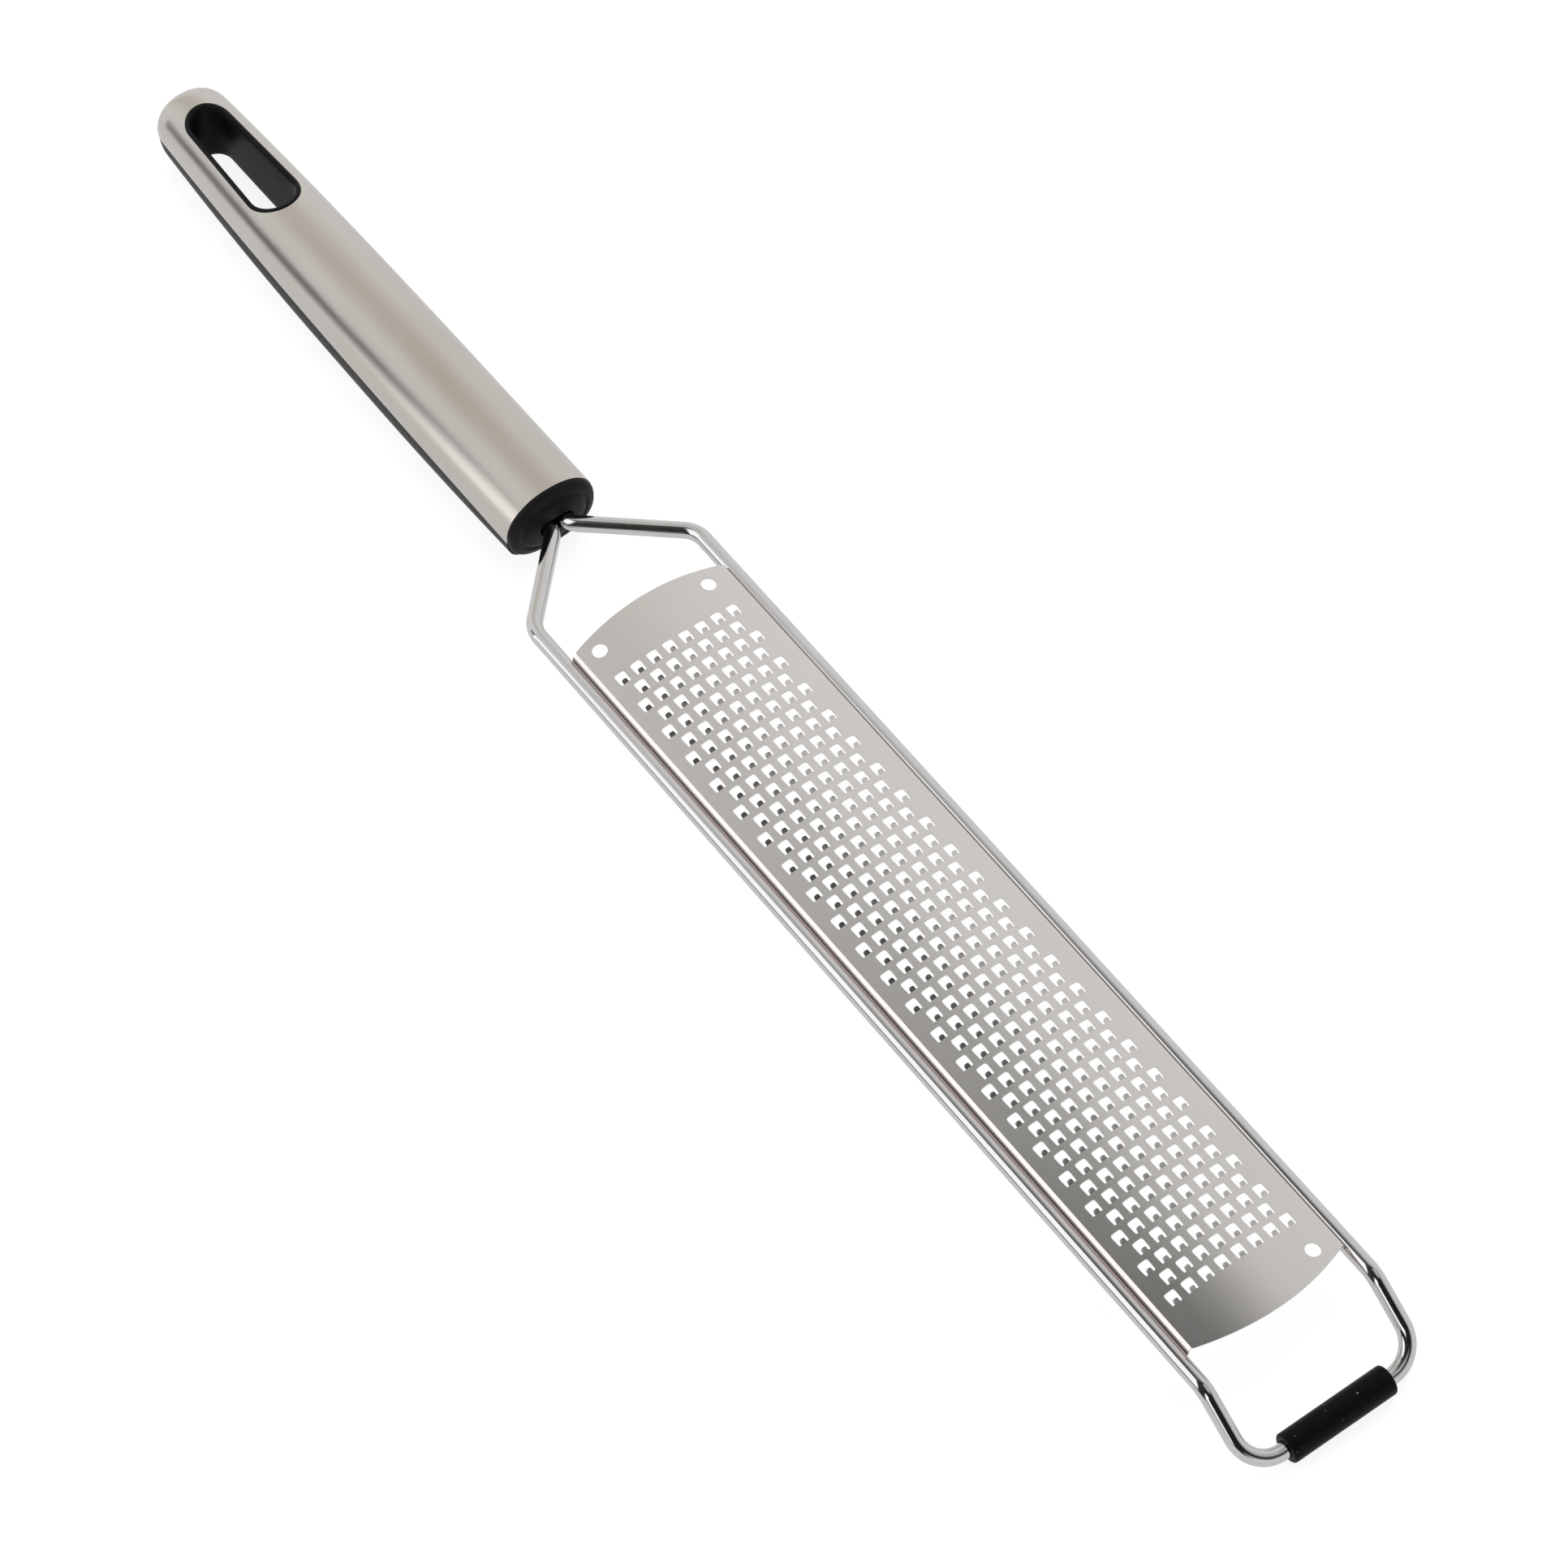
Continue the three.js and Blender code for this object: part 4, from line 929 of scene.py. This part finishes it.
axis = -np.array(CAMERA_FORWARD)
across = np.array(CAMERA_RIGHT)
third = np.cross(axis, across)
polar = np.linspace(0, DOME_REACH, 121)[:, None, None]
round_axis = np.linspace(0, 2 * np.pi, 240, endpoint=False)[None, :, None]
cap = np.cos(polar) * axis + np.sin(polar) * (np.cos(round_axis) * across + np.sin(round_axis) * third)
dome_centre = np.array((0.06, 0, 0.015))
along = np.degrees(np.arcsin(cap[..., 0]))
lean = np.degrees(np.arctan2(-cap[..., 1], cap[..., 2]))

dim_along = np.interp(
    along,
    (-38, -36, -33, -30.7, -25.7, -20.7, -15.7, -5, 0, 30, 60, 75),
    (0, 0.04, 0.1, 0.17, 0.35, 0.6, 0.8, 0.87, 0.94, 0.98, 0.98, 0),
)
dim_start = np.interp(along, (-15, -5, 0, 7.5, 30), (-17, -15, -20, -27, -37))
dim_end = np.interp(along, (10, 35), (84, 62))
dim_lean = np.interp(
    lean - dim_start, (-63, -43, -25, -9, -4, 1, 6, 11), (0, 0.06, 0.13, 0.18, 0.33, 0.6, 0.8, 1)
)
shade = 1 - dim_along * dim_lean * smooth(lean, dim_end + 18, dim_end)

in_panel = smooth(along, 7.5, 11) * smooth(along, 40, 28) * smooth(lean, 8, -10) * smooth(lean, -60, -40)
shade = shade * (1 - in_panel) + PANEL_GLOW * in_panel

beside_box = smooth(lean, 6, 12) * smooth(along, -28, -19) * smooth(along, 6, -6)
shade = shade * (1 - DARK_BESIDE_BOX * beside_box)

box_start = np.interp(along, (-34, -30.7, -25.7, -12, -7, -3, 0), (56, 36, 22, 22, 34, 44, 52))
box_end = np.interp(along, (-36, -33), (92, 80))
in_box = smooth(lean, box_start - 3, box_start + 3) * smooth(lean, box_end + 3, box_end - 3)
in_box = in_box * smooth(along, -38.2, -37) * smooth(along, 1.5, -1.5)
shade = shade * (1 - in_box) + np.interp(along, (-36, -33), (2, 1.65)) * in_box

in_lamp = smooth(along, 24, 29) * smooth(along, 41, 37) * smooth(lean, 34, 42) * smooth(lean, 72, 66)
shade = shade * (1 - in_lamp) + LAMP_GLOW * in_lamp

under_box = smooth(lean, 81, 82) * smooth(lean, 92, 91) * smooth(along, -34, -31) * smooth(along, 0, -10)
shade = shade * (1 - DARK_UNDER_BOX * under_box)

stand_lean = np.interp(along, (-41, -38.5), (64, 54))
by_stand = smooth(np.abs(lean - stand_lean), 17, 7) * smooth(along, -37.2, -38.4) * smooth(along, -55, -48)
shade = shade * (1 - DARK_STAND * by_stand)

overhead = smooth(np.abs(lean + 18), 34, 4) * smooth(along, -31, -35)
tone = 1 - overhead[..., None] * CEILING_TINT
glows = np.concatenate([shade[..., None] * tone, np.ones_like(shade)[..., None]], -1)
dome_points, dome_faces = wrap(dome_centre + DOME_RADIUS * cap)

dome_paint = bpy.data.materials.new("dim_studio")
dome_paint.use_nodes = True
dome_nodes, dome_links = dome_paint.node_tree.nodes, dome_paint.node_tree.links
dome_nodes.remove(dome_nodes["Principled BSDF"])
dim = dome_nodes.new("ShaderNodeEmission")
glow_of = dome_nodes.new("ShaderNodeAttribute")
glow_of.attribute_name = "glow"
dome_links.new(glow_of.outputs["Color"], dim.inputs["Color"])
dome_links.new(dim.outputs["Emission"], dome_nodes["Material Output"].inputs["Surface"])
dome = stage_mesh("dim_studio_side", dome_points, dome_faces, dome_paint)
dome_glow = dome.data.attributes.new("glow", "FLOAT_COLOR", "POINT")
dome_glow.data.foreach_set("color", glows.astype(np.float32).ravel())
dome.visible_camera = False
dome.visible_diffuse = False
dome.visible_transmission = False
dome.visible_shadow = False


def soft_box(name, place, target, width, height, power):
    """A soft lamp of that size, turned to its target."""
    lamp = bpy.data.lights.new(name, "AREA")
    lamp.shape = "RECTANGLE"
    lamp.size, lamp.size_y = width, height
    lamp.energy = power
    thing = bpy.data.objects.new(name, lamp)
    scene.collection.objects.link(thing)
    thing.location = place
    thing.visible_glossy = False
    thing.rotation_mode = "QUATERNION"
    thing.rotation_quaternion = (Vector(target) - Vector(place)).to_track_quat("-Z", "Y")


soft_box("side_soft_box", (-0.6, -1.3, 0.35), (0, 0, 0.02), 1.6, 0.5, 14)
soft_box("top_soft_box", (-0.5, 0.5, 1.5), (0, 0, 0), 1.2, 1.2, 14)
